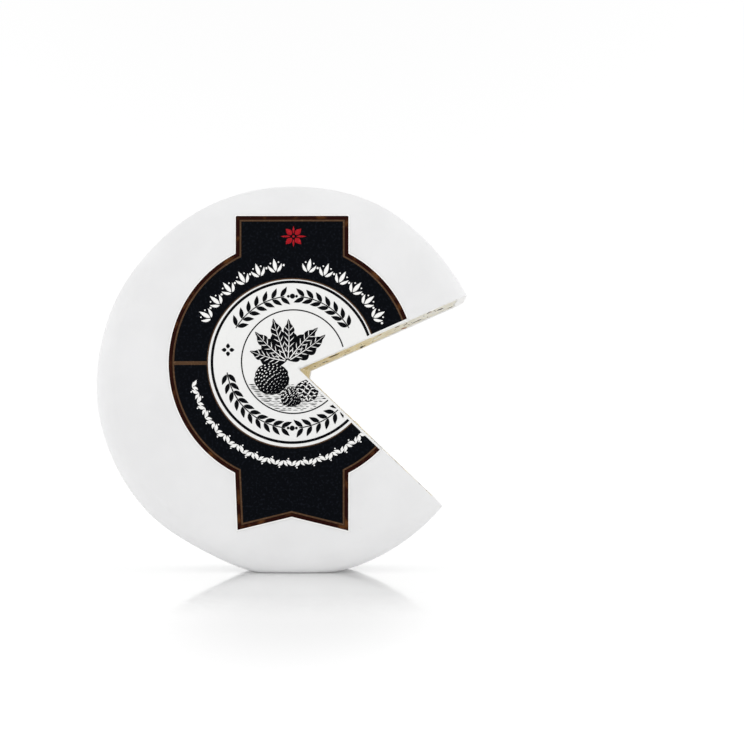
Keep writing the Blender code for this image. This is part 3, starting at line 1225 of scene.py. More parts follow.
@dataclass
class Inclusions:
    """The truffle bits, specks, rusty flecks and white crystals that show on the cuts.

    Each row holds a place out from the tip and inside from the front, two half lengths, and a turn
    in radians where it has one; the small ones have their number on each cut and the range of their
    half lengths. Lengths in these rows are in millimetres.
    """

    form: WheelForm
    paste: CutPaste
    truffles: Marks = (
        (Cut.UPPER, (
            (8.0, 13.0, 1.50, 0.85, 0.15), (14.6, 25.5, 0.75, 0.65), (19.5, 16.0, 1.25, 0.70, 0.9),
            (5.6, 22.0, 0.55, 0.75, 1.2), (12.4, 7.6, 0.60, 0.50, 0.4), (23.2, 8.8, 0.95, 0.60, 1.3),
            (27.8, 20.2, 1.10, 0.85, 0.5), (30.6, 6.4, 0.50, 0.70, 0.2), (33.4, 14.2, 0.80, 1.15),
            (36.2, 23.4, 0.60, 0.45, 0.9), (17.0, 22.6, 0.45, 0.55, 0.7), (25.0, 14.0, 0.50, 0.40),
        )),
        (Cut.LOWER, (
            (1.9, 5.6, 1.10, 1.00), (12.0, 6.6, 1.00, 0.70), (23.4, 4.5, 1.60, 1.15),
            (23.0, 7.7, 1.00, 1.15), (26.6, 7.7, 0.45, 0.80), (29.2, 12.7, 1.15, 1.85),
            (34.7, 6.4, 0.75, 0.80), (38.3, 15.0, 0.70, 0.80), (27.2, 19.9, 0.55, 0.50),
            (30.0, 19.3, 0.80, 1.20), (27.4, 23.4, 0.50, 0.45), (35.4, 22.9, 0.90, 1.25),
            (16.7, 26.7, 0.85, 1.00), (21.1, 27.2, 0.55, 0.55),
        )),
    )
    rust: Marks = (
        (Cut.LOWER, (
            (27.1, 18.2, 0.90, 0.50, 0.3), (6.2, 19.9, 0.35, 0.95, 0.2), (17.5, 7.0, 0.22, 0.42, 0.4),
            (21.1, 5.6, 0.35, 0.35), (34.7, 14.0, 0.35, 0.42), (19.1, 23.2, 0.28, 0.35, 0.5),
            (30.8, 20.4, 0.42, 0.95, 0.1), (36.3, 21.2, 0.28, 0.28), (24.2, 8.9, 0.45, 0.35, 0.5),
            (20.4, 26.4, 0.40, 0.50, 0.7),
        )),
        (Cut.UPPER, (
            (24.7, 26.0, 1.00, 0.55, 0.2), (11.0, 18.0, 0.40, 0.70, 0.9), (31.0, 12.0, 0.35, 0.50, 2.0),
            (19.0, 8.5, 0.30, 0.40, 0.4),
        )),
    )
    crystals: Marks = (
        (Cut.LOWER, (
            (29.0, 20.5, 0.70, 1.00, 0.5), (16.6, 9.8, 0.35, 0.85, 0.1), (9.0, 14.0, 0.30, 0.42),
            (34.6, 28.1, 0.42, 0.40), (36.6, 22.2, 0.45, 0.30, 0.4), (33.8, 6.0, 0.30, 0.30),
            (39.0, 15.9, 0.35, 0.40), (29.6, 17.6, 0.40, 0.35, 0.9),
        )),
        (Cut.UPPER, (
            (18.0, 20.0, 0.90, 0.60, 0.3), (36.0, 18.0, 0.80, 0.50, 1.2), (25.6, 10.0, 0.45, 0.35, 0.5),
        )),
    )
    pale: Marks = (
        (Cut.LOWER, (
            (13.2, 8.8, 1.9, 0.8), (9.6, 11.0, 1.6, 0.9), (5.0, 14.4, 1.5, 1.3), (20.0, 18.0, 1.9, 0.6),
            (22.3, 20.6, 0.9, 1.6), (17.2, 19.4, 0.9, 0.7), (4.0, 24.4, 1.2, 0.9), (6.4, 27.2, 1.8, 0.6),
            (39.2, 17.2, 0.5, 1.6), (14.6, 6.6, 1.2, 0.5), (30.4, 8.2, 1.3, 0.6),
        )),
        (Cut.UPPER, (
            (5.0, 20.0, 1.6, 1.1), (10.4, 12.6, 1.8, 0.7), (18.6, 20.4, 2.0, 1.3), (28.0, 22.4, 1.5, 0.8),
            (33.4, 8.0, 1.3, 1.5), (36.4, 18.4, 1.4, 1.0),
        )),
    )
    small_crystals: tuple[int, float, float] = (34, 0.12, 0.34)
    small_specks: tuple[int, float, float] = (26, 0.10, 0.30)
    small_out: Pair = (2.5, 39.0)
    small_inside: Pair = (3.6, 27.6)
    crown: float = 0.07 * MM
    deep_share: float = 0.7
    stand: float = 0.01 * MM
    seed: int = 71

    def __post_init__(self) -> None:
        """Lists the flecks of each kind: those with known places, then the small ones."""
        self.flecks = {
            Kind.TRUFFLE: flecks_of(self.truffles),
            Kind.RUST: flecks_of(self.rust),
            Kind.CRYSTAL: flecks_of(self.crystals) + self.small(*self.small_crystals),
            Kind.SPECK: self.small(*self.small_specks),
        }

    def small(self, count: int, least: float, most: float) -> list[Fleck]:
        """Small things scattered over both cuts, most of them near the lower end of their sizes.

        Args:
            count: How many on each cut.
            least: Smallest half length, in millimetres.
            most: Largest half length.

        Returns:
            The flecks.
        """
        draw, found = self.paste.draw, []
        for cut in (cut for cut in Cut for _ in range(count)):
            size = draw.triangular(least, most, least) * MM
            out, inside = draw.uniform(*self.small_out) * MM, draw.uniform(*self.small_inside) * MM
            wide, turn = size * draw.uniform(0.5, 1.0), draw.uniform(0.0, math.pi)
            found.append(Fleck(cut, out, inside, size, wide, turn))
        return found

    def lump(self, fleck: Fleck, sides: int, rings: int, draw: np.random.Generator) -> Numbers:
        """One shard as rings by sides: a flattened ball whose outline and surface waver.

        With u from pole to pole and v round it, the radius is 1 + waves of 2 to 6 to the turn that
        grow with sin u. The upper half is cut off by the knife: only a low rough crown is left
        over the paste.

        Args:
            fleck: Its place and half lengths.
            sides: Points round it.
            rings: Points from pole to pole.
            draw: Where the waves are drawn from.

        Returns:
            Array of rings by sides by 3.
        """
        u = np.linspace(0.0, math.pi, rings)[:, None]
        v = np.linspace(0.0, math.tau, sides, endpoint=False)[None, :]
        waver = np.ones((rings, sides))
        for turns in range(2, 7):
            size, phase = draw.uniform(0.04, 0.42 / turns), draw.uniform(0, math.tau)
            lean = draw.uniform(-1.5, 1.5)
            waver = waver + size * np.sin(turns * v + phase + lean * u) * np.sin(u)
        x = waver * np.sin(u) * np.cos(v) * fleck.long
        y = waver * np.sin(u) * np.sin(v) * fleck.wide
        rough = 1 + 0.6 * np.sin(3 * v + draw.uniform(0, 6)) * np.sin(2 * u) * np.sin(5 * v + 4 * u)
        deep = self.deep_share * min(fleck.long, fleck.wide)
        z = np.where(u < math.pi / 2, self.crown * np.cos(u) ** 0.5 * rough, deep * np.cos(u))
        cos, sin = math.cos(fleck.turn), math.sin(fleck.turn)
        out = fleck.out + (x * cos - y * sin)
        across = fleck.inside - self.form.depth / 2 + (x * sin + y * cos)
        base = self.paste.lift(fleck.cut, out, across) + self.stand
        return self.form.on_cut(fleck.cut, out, across, base + z)

    def build(self, kind: Kind) -> Object:
        """Makes all things of one kind as one piece.

        Args:
            kind: What they are.

        Returns:
            The piece.
        """
        name, sides, rings, finish = kind.value
        draw = np.random.default_rng(list(Kind).index(kind) + self.seed)
        shell = Shell()
        for fleck in self.flecks[kind]:
            shell.grid(self.lump(fleck, sides, rings, draw), closed=True)
        return settle(shell.piece(name, finish.material()), "cheddar")


def polar(radius: Numbers | float, degrees: Numbers | float) -> Numbers:
    """Points at a distance from the origin, in directions given in degrees."""
    turn = np.radians(degrees)
    return radius * np.stack([np.cos(turn), np.sin(turn)], -1)


def circle(radius: float, points: int) -> Numbers:
    """A closed circle of points about the origin."""
    return polar(radius, np.linspace(0.0, 360.0, points, endpoint=False))


def arc(radius: float, first: float, last: float, points: int) -> Numbers:
    """An open arc of points between two directions in degrees."""
    return polar(radius, np.linspace(first, last, points))


def bent(base: Pair, aim: float, length: float, bend: float, points: int) -> Numbers:
    """A path that turns evenly by bend degrees: the base plus the running sum of equal steps."""
    return np.array(base) + np.cumsum(arc(length / (points - 1), aim, aim + bend, points), axis=0)


class Print:
    """Flat shapes of one ink on the label, in millimetres from the label's centre."""

    def __init__(self, shift: Pair = (0.0, 0.0)) -> None:
        """Starts with no shapes, and with a shift for those that come."""
        self.grids: list[tuple[Numbers, bool]] = []
        self.shift = shift

    def add(self, points: Numbers, closed: bool) -> "Print":
        """Keeps a grid of points, moved by the print's present shift."""
        self.grids.append((points + np.array(self.shift), closed))
        return self

    def band(self, *loops: Numbers) -> "Print":
        """Between closed loops of equally many points."""
        return self.add(np.stack(loops), True)

    def fill(self, outer: Numbers, inner: Numbers, steps: int) -> "Print":
        """Between two loops, by loops that lead evenly from one to the other."""
        shares = np.linspace(0.0, 1.0, steps + 1)
        return self.band(*(outer * (1 - share) + inner * share for share in shares))

    def blob(self, centre: Pair, shape: Numbers) -> "Print":
        """A filled shape about its centre."""
        return self.band(np.array(centre) + shape * 0.0, np.array(centre) + shape)

    def disc(self, centre: Pair, radius: float, sides: int) -> "Print":
        """A filled circle."""
        return self.blob(centre, circle(radius, sides))

    def stroke(self, path: Numbers, half_width: Numbers | float) -> "Print":
        """A ribbon along a path: the path plus and minus its half width along its normal.

        Args:
            path: Points, one row each.
            half_width: One for all points, or one for each.

        Returns:
            The print.
        """
        run = np.gradient(path, axis=0)
        length = np.maximum(np.hypot(run[:, 0], run[:, 1]), 1e-9)
        normal = np.stack([-run[:, 1], run[:, 0]], -1) / length[:, None]
        side = normal * (np.ones(len(path)) * half_width)[:, None]
        return self.add(np.stack([path - side, path + side]), False)

    def leaf(
        self, base: Pair, aim: float, length: float, width: float, bend: float = 0.0, lobes: float = 0.0
    ) -> "Print":
        """A leaf: a ribbon that is widest before its middle and pointed at its end.

        The half width is width/2 sin(pi t^0.8), pinched between four rounded lobes where it has
        them; the path bends evenly.

        Args:
            base: Where it begins.
            aim: Its direction in degrees.
            length: Its length.
            width: Its greatest width.
            bend: How far it turns on its way, in degrees.
            lobes: Depth of the lobes, as a share of the width.

        Returns:
            The print.
        """
        t = np.linspace(0.0, 1.0, 41 if lobes else 11)
        wave = 1 - lobes * (1 - np.abs(np.sin(t * math.pi * 4.5)) ** 0.6)
        half_width = 0.5 * width * np.sin(math.pi * t ** 0.8) * wave
        return self.stroke(bent(base, aim, length, bend, len(t)), half_width)


@dataclass
class DieCutLabel:
    """The die-cut paper label: a ring over a ribbon with a swallow tail, and what is printed on it.

    Sizes are in millimetres and directions in degrees. A leaf's pair is its length and its greatest
    width, and a pair of turns how far leaves spread from the stem and how far they bend. A leaf of
    the still life has its direction, length and bend; a vine leaf its spread, length, width and
    bend; a truffle its middle, its radius and the seed of its knobs; a berry its direction from its
    fellows' middle, its radius and its sides. Rings and levels have a first, an end and a step.
    """

    form: WheelForm
    coat: WaxCoat
    right: float = 0.15
    up: float = 3.7
    ring: float = 26.5
    half_tab: float = 12.28
    top: float = 31.65
    tail: float = 35.9
    tail_notch: float = 32.9
    tail_left: float = 11.75
    corner: float = 0.5
    least_corner: float = 0.03
    paper_edge: float = 0.27
    border: float = 0.76
    border_gap: float = 0.05
    hairline: float = 0.36
    field_hole: float = 17.86
    hole_line: float = 0.24
    ring_line: Pair = (16.83, 17.40)
    thin_line: Pair = (10.89, 11.16)
    ring_shift: Pair = (0.09, 0.20)
    scene_shift: Pair = (0.30, 0.30)
    flower_shift: Pair = (0.3, 27.0)
    bar_half: float = 0.40
    sprig_middle: float = 20.95
    vine_middle: float = 21.3
    vine_swing: float = 0.42
    vine_period: float = 9.6
    vine_ends: Pair = (191.0, 349.0)
    vine_stem: float = 0.10
    vine_leaves: Rows = ((128.0, 1.55, 0.62, 20.0), (58.0, 1.25, 0.52, -20.0))
    sprig_runs: Rows = ((151.0, 100.0), (80.0, 29.0))
    sprigs_a_run: int = 6
    sprig_leaf: Pair = (2.75, 0.85)
    sprig_side: Pair = (2.15, 0.62)
    sprig_turns: Pair = (62.0, 44.0)
    sprig_dot: float = 0.24
    small_dot: float = 0.17
    wreath_middle: float = 14.05
    wreath_runs: Rows = ((149.0, 97.0), (31.0, 83.0), (189.0, 264.0), (351.0, 276.0))
    wreath_every: float = 8.0
    wreath_bare: float = 4.0
    wreath_stem: float = 0.11
    wreath_leaf: Pair = (2.45, 0.95)
    wreath_turns: Pair = (40.0, 12.0)
    berries: tuple[tuple[float, float, int], ...] = ((0.0, 0.55, 18), (-3.6, 0.30, 12), (3.6, 0.30, 12))
    berries_at: Pair = (90.0, 270.0)
    rosette: Pair = (-13.7, 2.6)
    rosette_leaf: Pair = (1.1, 0.85)
    broad_petal: Pair = (1.85, 1.15)
    slim_petals: Pair = (2.1, 1.65)
    heart: float = 0.26
    edge_gap: float = 0.02
    sheet_gap: float = 0.03
    ink_gap: float = 0.46
    paper_level: float = 0.10
    field_level: float = 0.125
    print_level: float = 0.145
    paper_thick: float = 0.12
    ink_thick: float = 0.04
    leaf_base: Pair = (-1.2, 0.1)
    leaves: Rows = (
        (172.0, 8.2, -14.0), (146.0, 9.2, -16.0), (114.0, 9.4, -10.0), (84.0, 8.8, 10.0), (54.0, 9.4, -12.0),
        (30.0, 9.6, 10.0),
    )
    leaf_width: float = 3.9
    leaf_lobes: float = 0.42
    rib_share: float = 0.92
    rib_half: float = 0.09
    vein: Pair = (1.45, 0.17)
    vein_spread: float = 42.0
    truffles: tuple[tuple[Pair, float, int], ...] = (
        ((-4.6, -3.6), 3.7, 3), ((-0.4, -7.5), 2.3, 4), ((2.9, -6.2), 2.5, 5)
    )
    flattened: float = 0.92
    knob: Pair = (0.008, 0.022)
    wart_rings: Triple = (0.10, 0.95, 0.155)
    warts_around: float = 7.4
    wart_radius: float = 0.30
    wart_half: float = 0.15
    ground_levels: Triple = (-10.3, -4.6, 0.36)
    ground_radius: float = 10.8
    ground_every: float = 1.5
    ground_length: Pair = (0.7, 1.9)
    ground_half: float = 0.13

    def outline(self, inset: float) -> Numbers:
        """The label's closed outline, moved inwards.

        Each run has as many points whatever the inset, so two outlines make a band with true mitres:
        ring r - i, tab at half width w - i, tail lines moved by i along their normal. The tab's
        corners are rounded by what the inset leaves of their radius.

        Args:
            inset: How far inwards.

        Returns:
            Points, anticlockwise from the ring's right.
        """
        sizes = self.ring, self.half_tab, self.top, self.tail_left
        ring, half, top, left = (size - inset for size in sizes)
        slope = (self.tail - self.tail_notch) / self.half_tab
        notch = self.tail_notch - inset * math.hypot(1.0, slope)
        joint = math.degrees(math.acos(half / ring))
        up, curve = math.sqrt(ring**2 - half**2), max(self.corner - inset, self.least_corner)
        share = np.linspace(0.0, 1.0, 8, endpoint=False)[:, None]
        tail = (
            (-half, -up), (-left, -notch - slope * left), (0.0, -notch), (half, -notch - slope * half),
            (half, -up),
        )

        def run(begin: Pair, end: Pair) -> Numbers:
            """Points from one corner up to the next."""
            return np.array(begin) * (1 - share) + np.array(end) * share

        return np.concatenate([
            arc(ring, 0.0, joint, 60)[:-1],
            run((half, up), (half, top - curve)),
            np.array([half - curve, top - curve]) + arc(curve, 0.0, 90.0, 6),
            run((half - curve, top), (curve - half, top))[1:],
            np.array([curve - half, top - curve]) + arc(curve, 90.0, 180.0, 6),
            run((-half, top - curve), (-half, up))[1:],
            arc(ring, 180.0 - joint, 180.0 + joint, 120)[:-1],
            *(run(*ends) for ends in zip(tail, tail[1:])),
            arc(ring, -joint, 0.0, 60)[:-1],
        ])

    def copper(self) -> Print:
        """The hairlines inside the border and round the roundel, and a bar on either side of it.

        Returns:
            The print.
        """
        first, hole = self.paper_edge + self.border + self.border_gap, self.field_hole + self.hole_line
        last = first + self.hairline
        made = Print().band(self.outline(first), self.outline(last))
        for side in (-1, 1):
            made.stroke(np.array([[side * hole, 0.0], [side * (self.ring - last), 0.0]]), self.bar_half)
        return made.band(circle(hole, 200), circle(self.field_hole, 200))

    def black(self) -> Print:
        """The roundel's rings, the wreath between them, and the still life in its middle.

        Returns:
            The print.
        """
        made = Print(self.ring_shift).band(*(circle(radius, 180) for radius in self.ring_line))
        for aim in QUARTERS:
            made.leaf(polar(0.2, aim) + self.rosette, aim, *self.rosette_leaf)
        for first, last in self.wreath_runs:
            self.wreath(made, first, last)
        for degrees in self.berries_at:
            for aside, radius, sides in self.berries:
                made.disc(polar(self.wreath_middle, degrees + aside), radius, sides)
        made.shift = self.scene_shift
        made.band(*(circle(radius, 140) for radius in self.thin_line))
        for aim, length, bend in self.leaves:
            made.leaf(self.leaf_base, aim, length, self.leaf_width, bend, self.leaf_lobes)
        self.ground(made)
        for middle, radius, seed in self.truffles:
            self.truffle(made, middle, radius, seed)
        return made

    def wreath(self, made: Print, first: float, last: float) -> None:
        """A stretch of laurel: a thin stem, and pairs of leaves that point along it.

        Args:
            made: What it is printed with.
            first: Direction in which it begins, in degrees.
            last: Direction in which it ends.
        """
        way, (spread, bend) = math.copysign(1.0, last - first), self.wreath_turns
        made.stroke(arc(self.wreath_middle, first, last, 40), self.wreath_stem)
        pairs = int(abs(last - first) / self.wreath_every) + 1
        for degrees in np.linspace(first + way, last - way * self.wreath_bare, pairs):
            for side in (1, -1):
                aim = degrees + way * 90.0 + side * spread
                made.leaf(polar(self.wreath_middle, degrees), aim, *self.wreath_leaf, -way * side * bend)

    def truffle(self, made: Print, middle: Pair, radius: float, seed: int) -> None:
        """The black body of an engraved truffle: a filled outline with small knobs.

        Args:
            made: What it is printed with.
            middle: Its middle.
            radius: Its radius.
            seed: Picks its knobs.
        """
        draw = np.random.default_rng(seed)
        turn = np.linspace(0.0, math.tau, 72, endpoint=False)
        waves = (draw.uniform(*self.knob) * np.sin(k * turn + draw.uniform(0, 6)) for k in (3, 7, 11, 16))
        shape = circle(1.0, len(turn)) * (1.0, self.flattened)
        made.blob(middle, shape * ((1 + sum(waves)) * radius)[:, None])

    def ground(self, made: Print) -> None:
        """Level strokes of shade under the truffles, close together near them.

        Args:
            made: What they are printed with.
        """
        draw = np.random.default_rng(8)
        t = np.linspace(0.0, 1.0, 7)
        for level in np.arange(*self.ground_levels):
            reach = math.sqrt(self.ground_radius**2 - level**2)
            for begin in np.arange(-reach, reach - 0.8, self.ground_every):
                first = begin + draw.uniform(0.0, 0.4)
                last = min(first + draw.uniform(*self.ground_length), reach)
                height = np.full(len(t), level + draw.uniform(-0.05, 0.05))
                path = np.stack([first + (last - first) * t, height], -1)
                made.stroke(path, self.ground_half * np.sin(math.pi * t) * draw.uniform(0.3, 1.0))

    def white(self) -> Print:
        """The bare edge of the paper printed whiter than the sheet as a painted highlight, the pale sprigs
        and vine, and the light on the black shapes.

        Returns:
            The print.
        """
        # Painted highlight: the bare white paper edge, printed brighter than the paper sheet itself.
        made = Print().band(self.outline(0.0), self.outline(self.paper_edge - self.edge_gap))
        for ends in self.sprig_runs:
            for degrees in np.linspace(*ends, self.sprigs_a_run):
                self.sprig(made, degrees)
        self.vine(made, *self.vine_ends)
        made.shift = self.scene_shift
        for aim, length, bend in self.leaves:
            self.veins(made, aim, length * self.rib_share, bend)
        for middle, radius, _ in self.truffles[:-1]:
            self.warts(made, middle, radius)
        self.marbling(made, *self.truffles[-1][:2])
        return made

    def warts(self, made: Print, middle: Pair, radius: float) -> None:
        """The light on a truffle's warts: small pale crescents in rings, thinner away from the light.

        Args:
            made: What it is printed with.
            middle: The truffle's middle.
            radius: Its radius.
        """
        swell = np.sin(np.linspace(0, math.pi, 7))
        for ring in np.arange(*self.wart_rings):
            around = max(int(ring * radius * self.warts_around), 1)
            for turn in np.linspace(0.0, 360.0, around, endpoint=False) + ring * 400.0:
                place = polar(ring * radius, turn) * (1.0, self.flattened)
                light = 0.5 + 0.5 * (place[1] - place[0]) / (1.3 * radius)
                bow = arc(self.wart_radius * (1 - 0.55 * ring), 60.0, 200.0, len(swell))
                made.stroke(np.array(middle) + place + bow, swell * self.wart_half * max(light, 0.12))

    def marbling(self, made: Print, middle: Pair, radius: float) -> None:
        """Pale winding veins over the cut face of a truffle: level lines, each with two sine waves.

        Args:
            made: What it is printed with.
            middle: The truffle's middle.
            radius: Its radius.
        """
        t = np.linspace(-1.0, 1.0, 40)
        for level in np.linspace(-0.72, 0.72, 6):
            wave = 0.11 * np.sin(t * 9.0 + level * 14.0) + 0.05 * np.sin(t * 21.0 + level * 31.0)
            x = t * math.sqrt(0.80 - level * level)
            path = np.stack([x, level + wave * np.cos(t * 1.5)], -1) * radius
            made.stroke(np.array(middle) + path, 0.085 + 0.05 * np.sin(t * 13.0 + level * 7.0))

    def sprig(self, made: Print, degrees: float) -> None:
        """One pale sprig: an upright leaf with a smaller one on either side, and dots beside it.

        Args:
            made: What it is printed with.
            degrees: Its direction from the label's middle.
        """
        base, (spread, bend) = polar(self.sprig_middle - 1.35, degrees), self.sprig_turns
        made.leaf(base, degrees, *self.sprig_leaf)
        made.disc(polar(self.sprig_middle, degrees - 5.1), self.sprig_dot, 12)
        for side in (-1, 1):
            made.leaf(base, degrees + side * spread, *self.sprig_side, -side * bend)
            made.disc(polar(self.sprig_middle + 0.75, degrees + side * 2.3), self.small_dot, 10)

    def vine(self, made: Print, first: float, last: float) -> None:
        """A thin winding stem with small leaves to both sides: radius = middle + swing sin(k angle).

        Args:
            made: What it is printed with.
            first: Direction in which it begins, in degrees.
            last: Direction in which it ends.
        """
        degrees = np.linspace(first, last, 400)
        radius = self.vine_middle + self.vine_swing * np.sin((degrees - first) / self.vine_period * math.tau)
        made.stroke(polar(radius[:, None], degrees), self.vine_stem)
        for step, at in enumerate(np.arange(first + self.vine_period / 4, last, self.vine_period / 2)):
            side = (1, -1)[step % 2]
            base = polar(self.vine_middle + self.vine_swing * side, at)
            for spread, length, width, bend in self.vine_leaves:
                made.leaf(base, at + 90.0 + side * spread, length, width, side * bend)
            made.disc(polar(self.vine_middle + 0.95 * side, at + 2.6), self.small_dot, 8)

    def veins(self, made: Print, aim: float, length: float, bend: float) -> None:
        """A leaf's midrib and side veins, drawn pale.

        Args:
            made: What they are printed with.
            aim: The leaf's direction in degrees.
            length: Length of the midrib.
            bend: How far it turns on its way, in degrees.
        """
        t = np.linspace(0.0, 1.0, 15)
        rib = bent(self.leaf_base, aim, length, bend, len(t))
        made.stroke(rib, self.rib_half * (1.3 - t))
        for at in range(2, 12, 2):
            for side in (-1, 1):
                made.leaf(rib[at], aim + bend * t[at] + side * self.vein_spread, *self.vein)

    def red(self) -> Print:
        """A small red flower on the tab: four broad petals, four slim ones and a round heart.

        Returns:
            The print.
        """
        made = Print(self.flower_shift).disc((0.0, 0.0), self.heart, 12)
        for aim, long in zip(QUARTERS, self.slim_petals * 2):
            made.leaf(polar(0.3, aim + 45.0), aim + 45.0, *self.broad_petal)
            made.leaf(polar(0.45, aim), aim, long, 0.42)
        return made

    def build(self, name: str, made: Print, level: float, finish: Finish) -> Object:
        """Lays a print on the wax, cuts it off at the missing wedge and gives it a thickness.

        Args:
            name: The piece's name.
            made: Its shapes.
            level: How far its front stands out from the wax.
            finish: Its material.

        Returns:
            The piece.
        """
        thick, gap = self.ink_thick, self.ink_gap
        if finish is PAPER:
            thick, gap = self.paper_thick, self.sheet_gap
        shell = Shell()
        for points, closed in made.grids:
            x = (self.right + points[..., 0]) * MM
            z = self.form.axis_height + (self.up + points[..., 1]) * MM
            shell.grid(np.stack([x, self.coat.front(x, z) - level * MM, z], -1), closed)
        piece = shell.piece(name, finish.material(), closed=False)
        self.trim(piece, gap * MM)
        wall = piece.modifiers.new("thickness", "SOLIDIFY")
        wall.thickness, wall.offset = thick * MM, -1.0
        return settle(piece, "label")

    def trim(self, piece: Object, gap: float) -> None:
        """Splits a flat piece along both cuts, drops what lies in the wedge, and turns it to the front.

        Args:
            piece: The piece.
            gap: How far it ends before the cuts, in metres.
        """
        shape = bmesh.new()
        shape.from_mesh(piece.data)
        planes = [(Vector(self.form.tip - cut.normal * gap), Vector(cut.normal)) for cut in Cut]
        for corner, normal in planes:
            everything = shape.verts[:] + shape.edges[:] + shape.faces[:]
            bmesh.ops.bisect_plane(shape, geom=everything, dist=TOUCH, plane_co=corner, plane_no=normal)
        lost = [
            face for face in shape.faces
            if all((face.calc_center_median() - corner).dot(normal) > 0 for corner, normal in planes)
        ]
        bmesh.ops.delete(shape, geom=lost, context="FACES")
        slivers = [face for face in shape.faces if face.calc_area() < SLIVER]
        bmesh.ops.delete(shape, geom=slivers, context="FACES")
        shape.normal_update()
        bmesh.ops.reverse_faces(shape, faces=[face for face in shape.faces if face.normal.y > 0])
        shape.to_mesh(piece.data)
        shape.free()

    def pieces(self) -> list[Object]:
        """Builds the sheet and the inks, from the paper up.

        Returns:
            The pieces.
        """
        edge, field_edge = self.outline(0.0), self.outline(self.paper_edge)
        hole = field_edge / np.hypot(field_edge[:, 0], field_edge[:, 1])[:, None] * self.field_hole
        border = self.outline(self.paper_edge + self.border)
        layers = (
            ("label_paper_sheet", Print().fill(edge, edge * 0.0, 22), self.paper_level, PAPER),
            ("label_black_field", Print().fill(field_edge, hole, 14), self.field_level, FIELD),
            ("label_bronze_border", Print().fill(field_edge, border, 2), self.print_level, BRONZE),
            ("label_copper_lines", self.copper(), self.print_level, COPPER),
            ("label_black_print", self.black(), self.field_level, BLACK),
            ("label_white_print", self.white(), self.print_level, WHITE),
            ("label_red_flower", self.red(), self.print_level, RED),
        )
        return [self.build(*layer) for layer in layers]


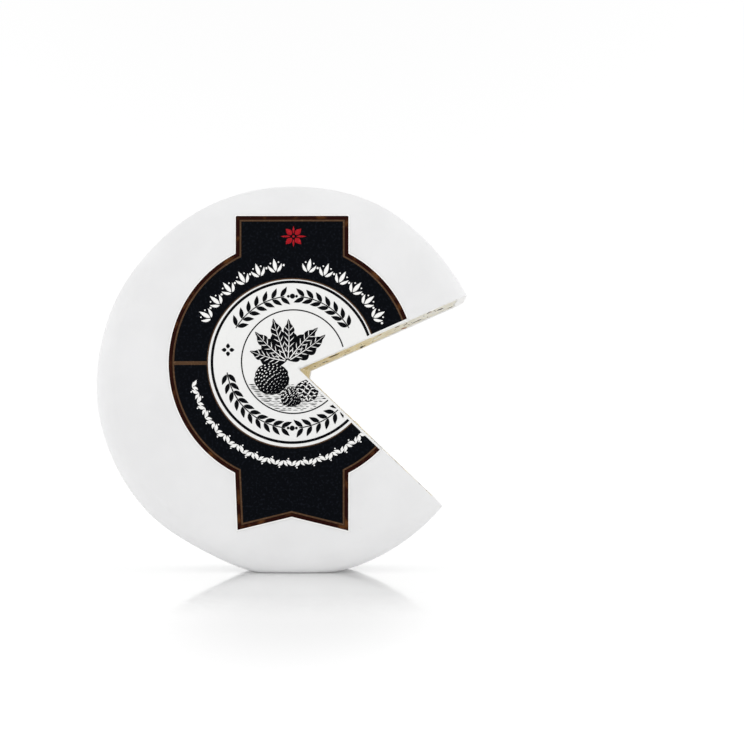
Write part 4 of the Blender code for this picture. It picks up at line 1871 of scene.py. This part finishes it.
@dataclass
class Studio:
    """The pale floor, the soft light all round and the camera."""

    eye: Triple = (21.4 * MM, -431.0 * MM, 28.4 * MM)
    pitch: float = 1.985
    yaw: float = 0.582
    lens: float = 94.55
    sensor: float = 36.0
    floor_half: float = 4.0
    floor_drop: float = 0.02 * MM
    floor_colour: Colour = (0.92, 0.92, 0.92)
    floor_shade: Colour = (0.77, 0.77, 0.77)
    shade_middle: Pair = (7.0 * MM, -108.0 * MM)
    shade_half: Pair = (29.0 * MM, 115.0 * MM)
    shade_ends: Pair = (0.2, 1.1)
    light: float = 0.985
    light_level: float = 0.035
    light_sides: float = 0.47
    light_right: float = 0.18
    light_above: float = 0.04
    floor_glow: float = 0.09
    floor_blur: float = 0.05
    floor_ior: float = 1.5
    gloss_ends: Pair = (0.070, 0.122)

    def build(self) -> None:
        """Makes the floor, the light and the camera."""
        self.floor()
        self.world()
        self.camera()
        settings = bpy.context.scene.view_settings
        settings.view_transform, settings.look = "Standard", "None"

    def floor(self) -> None:
        """A large pale sheet, polished round the wheel and matt further out, with a painted soft shade
        before it.
        """
        side = np.array([-self.floor_half, self.floor_half])
        x, y = np.meshgrid(side, side)
        shell = Shell()
        shell.grid(np.stack([x, y, np.full_like(x, -self.floor_drop)], -1))
        material = bpy.data.materials.new("pale_floor")
        material.use_nodes = True
        look = Look(material.node_tree)
        x, y, _ = look.parts(look.place())
        places = zip((x, y), self.shade_middle, self.shade_half)
        across, ahead = ((place - middle) / half for place, middle, half in places)
        # Painted shade: a soft grey patch on the floor in front of the wheel.
        shade = 1 - ((across * across + ahead * ahead) ** 0.5).step(*self.shade_ends)
        inputs = {"Color": WHITE_LIGHT, "Roughness": self.floor_blur}
        polished = look.node("ShaderNodeBsdfGlossy", {}, inputs)
        inputs = {
            "Base Color": look.blend(shade, self.floor_colour, self.floor_shade),
            "Roughness": 1.0,
            "Specular IOR Level": 0.0,
            "Emission Color": WHITE_LIGHT,
            "Emission Strength": self.floor_glow,
        }
        sheet = look.node("ShaderNodeBsdfPrincipled", {}, inputs)
        grazing = look.value("ShaderNodeFresnel", {}, {"IOR": self.floor_ior}, 0)
        share = grazing * (1 - ((x * x + y * y) ** 0.5).step(*self.gloss_ends))
        mix = look.node("ShaderNodeMixShader", {}, {0: share, 1: sheet.outputs[0], 2: polished.outputs[0]})
        look.node("ShaderNodeOutputMaterial", {}, {"Surface": mix.outputs[0]})
        shell.piece("pale_floor", material, closed=False)

    def world(self) -> None:
        """Soft white light from all sides: stronger from the sides, weaker from the lower right."""
        world = bpy.data.worlds.new("soft_studio")
        bpy.context.scene.world = world
        world.use_nodes = True
        look = Look(world.node_tree)
        x, _, z = look.parts(look.node("ShaderNodeTexCoord", {}, {}).outputs["Generated"])
        above = look.math("MAXIMUM", z, 0.0)
        low_right = x.step(0.0, 0.6) * (1 - z.step(-0.05, 0.50))
        level = 1 - z.step(0.03, 0.30)
        strength = self.light + self.light_level * level + self.light_sides * (x * x) * (1 - low_right)
        strength = strength + self.light_right * (x * above) - self.light_above * above
        lamp = look.node("ShaderNodeBackground", {}, {"Color": WHITE_LIGHT, "Strength": strength})
        look.node("ShaderNodeOutputWorld", {}, {"Surface": lamp.outputs[0]})

    def camera(self) -> None:
        """The camera, low in front and a little to the right, tilted slightly up."""
        data = bpy.data.cameras.new("camera")
        data.lens, data.sensor_width = self.lens, self.sensor
        data.clip_start, data.clip_end = 0.01, 20.0
        item = bpy.data.objects.new("camera", data)
        item.location = self.eye
        item.rotation_euler = Euler((math.radians(90.0 + self.pitch), 0.0, math.radians(self.yaw)))
        bpy.context.scene.collection.objects.link(item)
        bpy.context.scene.camera = item


def main() -> None:
    """Builds every piece in order and reports it."""
    logging.basicConfig(level=logging.INFO, format="%(name)s %(message)s")
    form = WheelForm()
    coat = WaxCoat(form)
    paste = CutPaste(form, coat)
    inside = Inclusions(form, paste)
    smear = WaxSmear(form, coat, paste)
    wax = WAX.material()
    pieces = [
        coat.build(wax),
        paste.build(PASTE.material(), inside.flecks[Kind.TRUFFLE], flecks_of(inside.pale)),
        *(smear.build(cut, wax) for cut in Cut),
        *(inside.build(kind) for kind in Kind),
        *DieCutLabel(form, coat).pieces(),
    ]
    for piece in pieces:
        LOG.info("%s: %d faces", piece.name, len(piece.data.polygons))
    Studio().build()


if __name__ == "__main__":
    main()
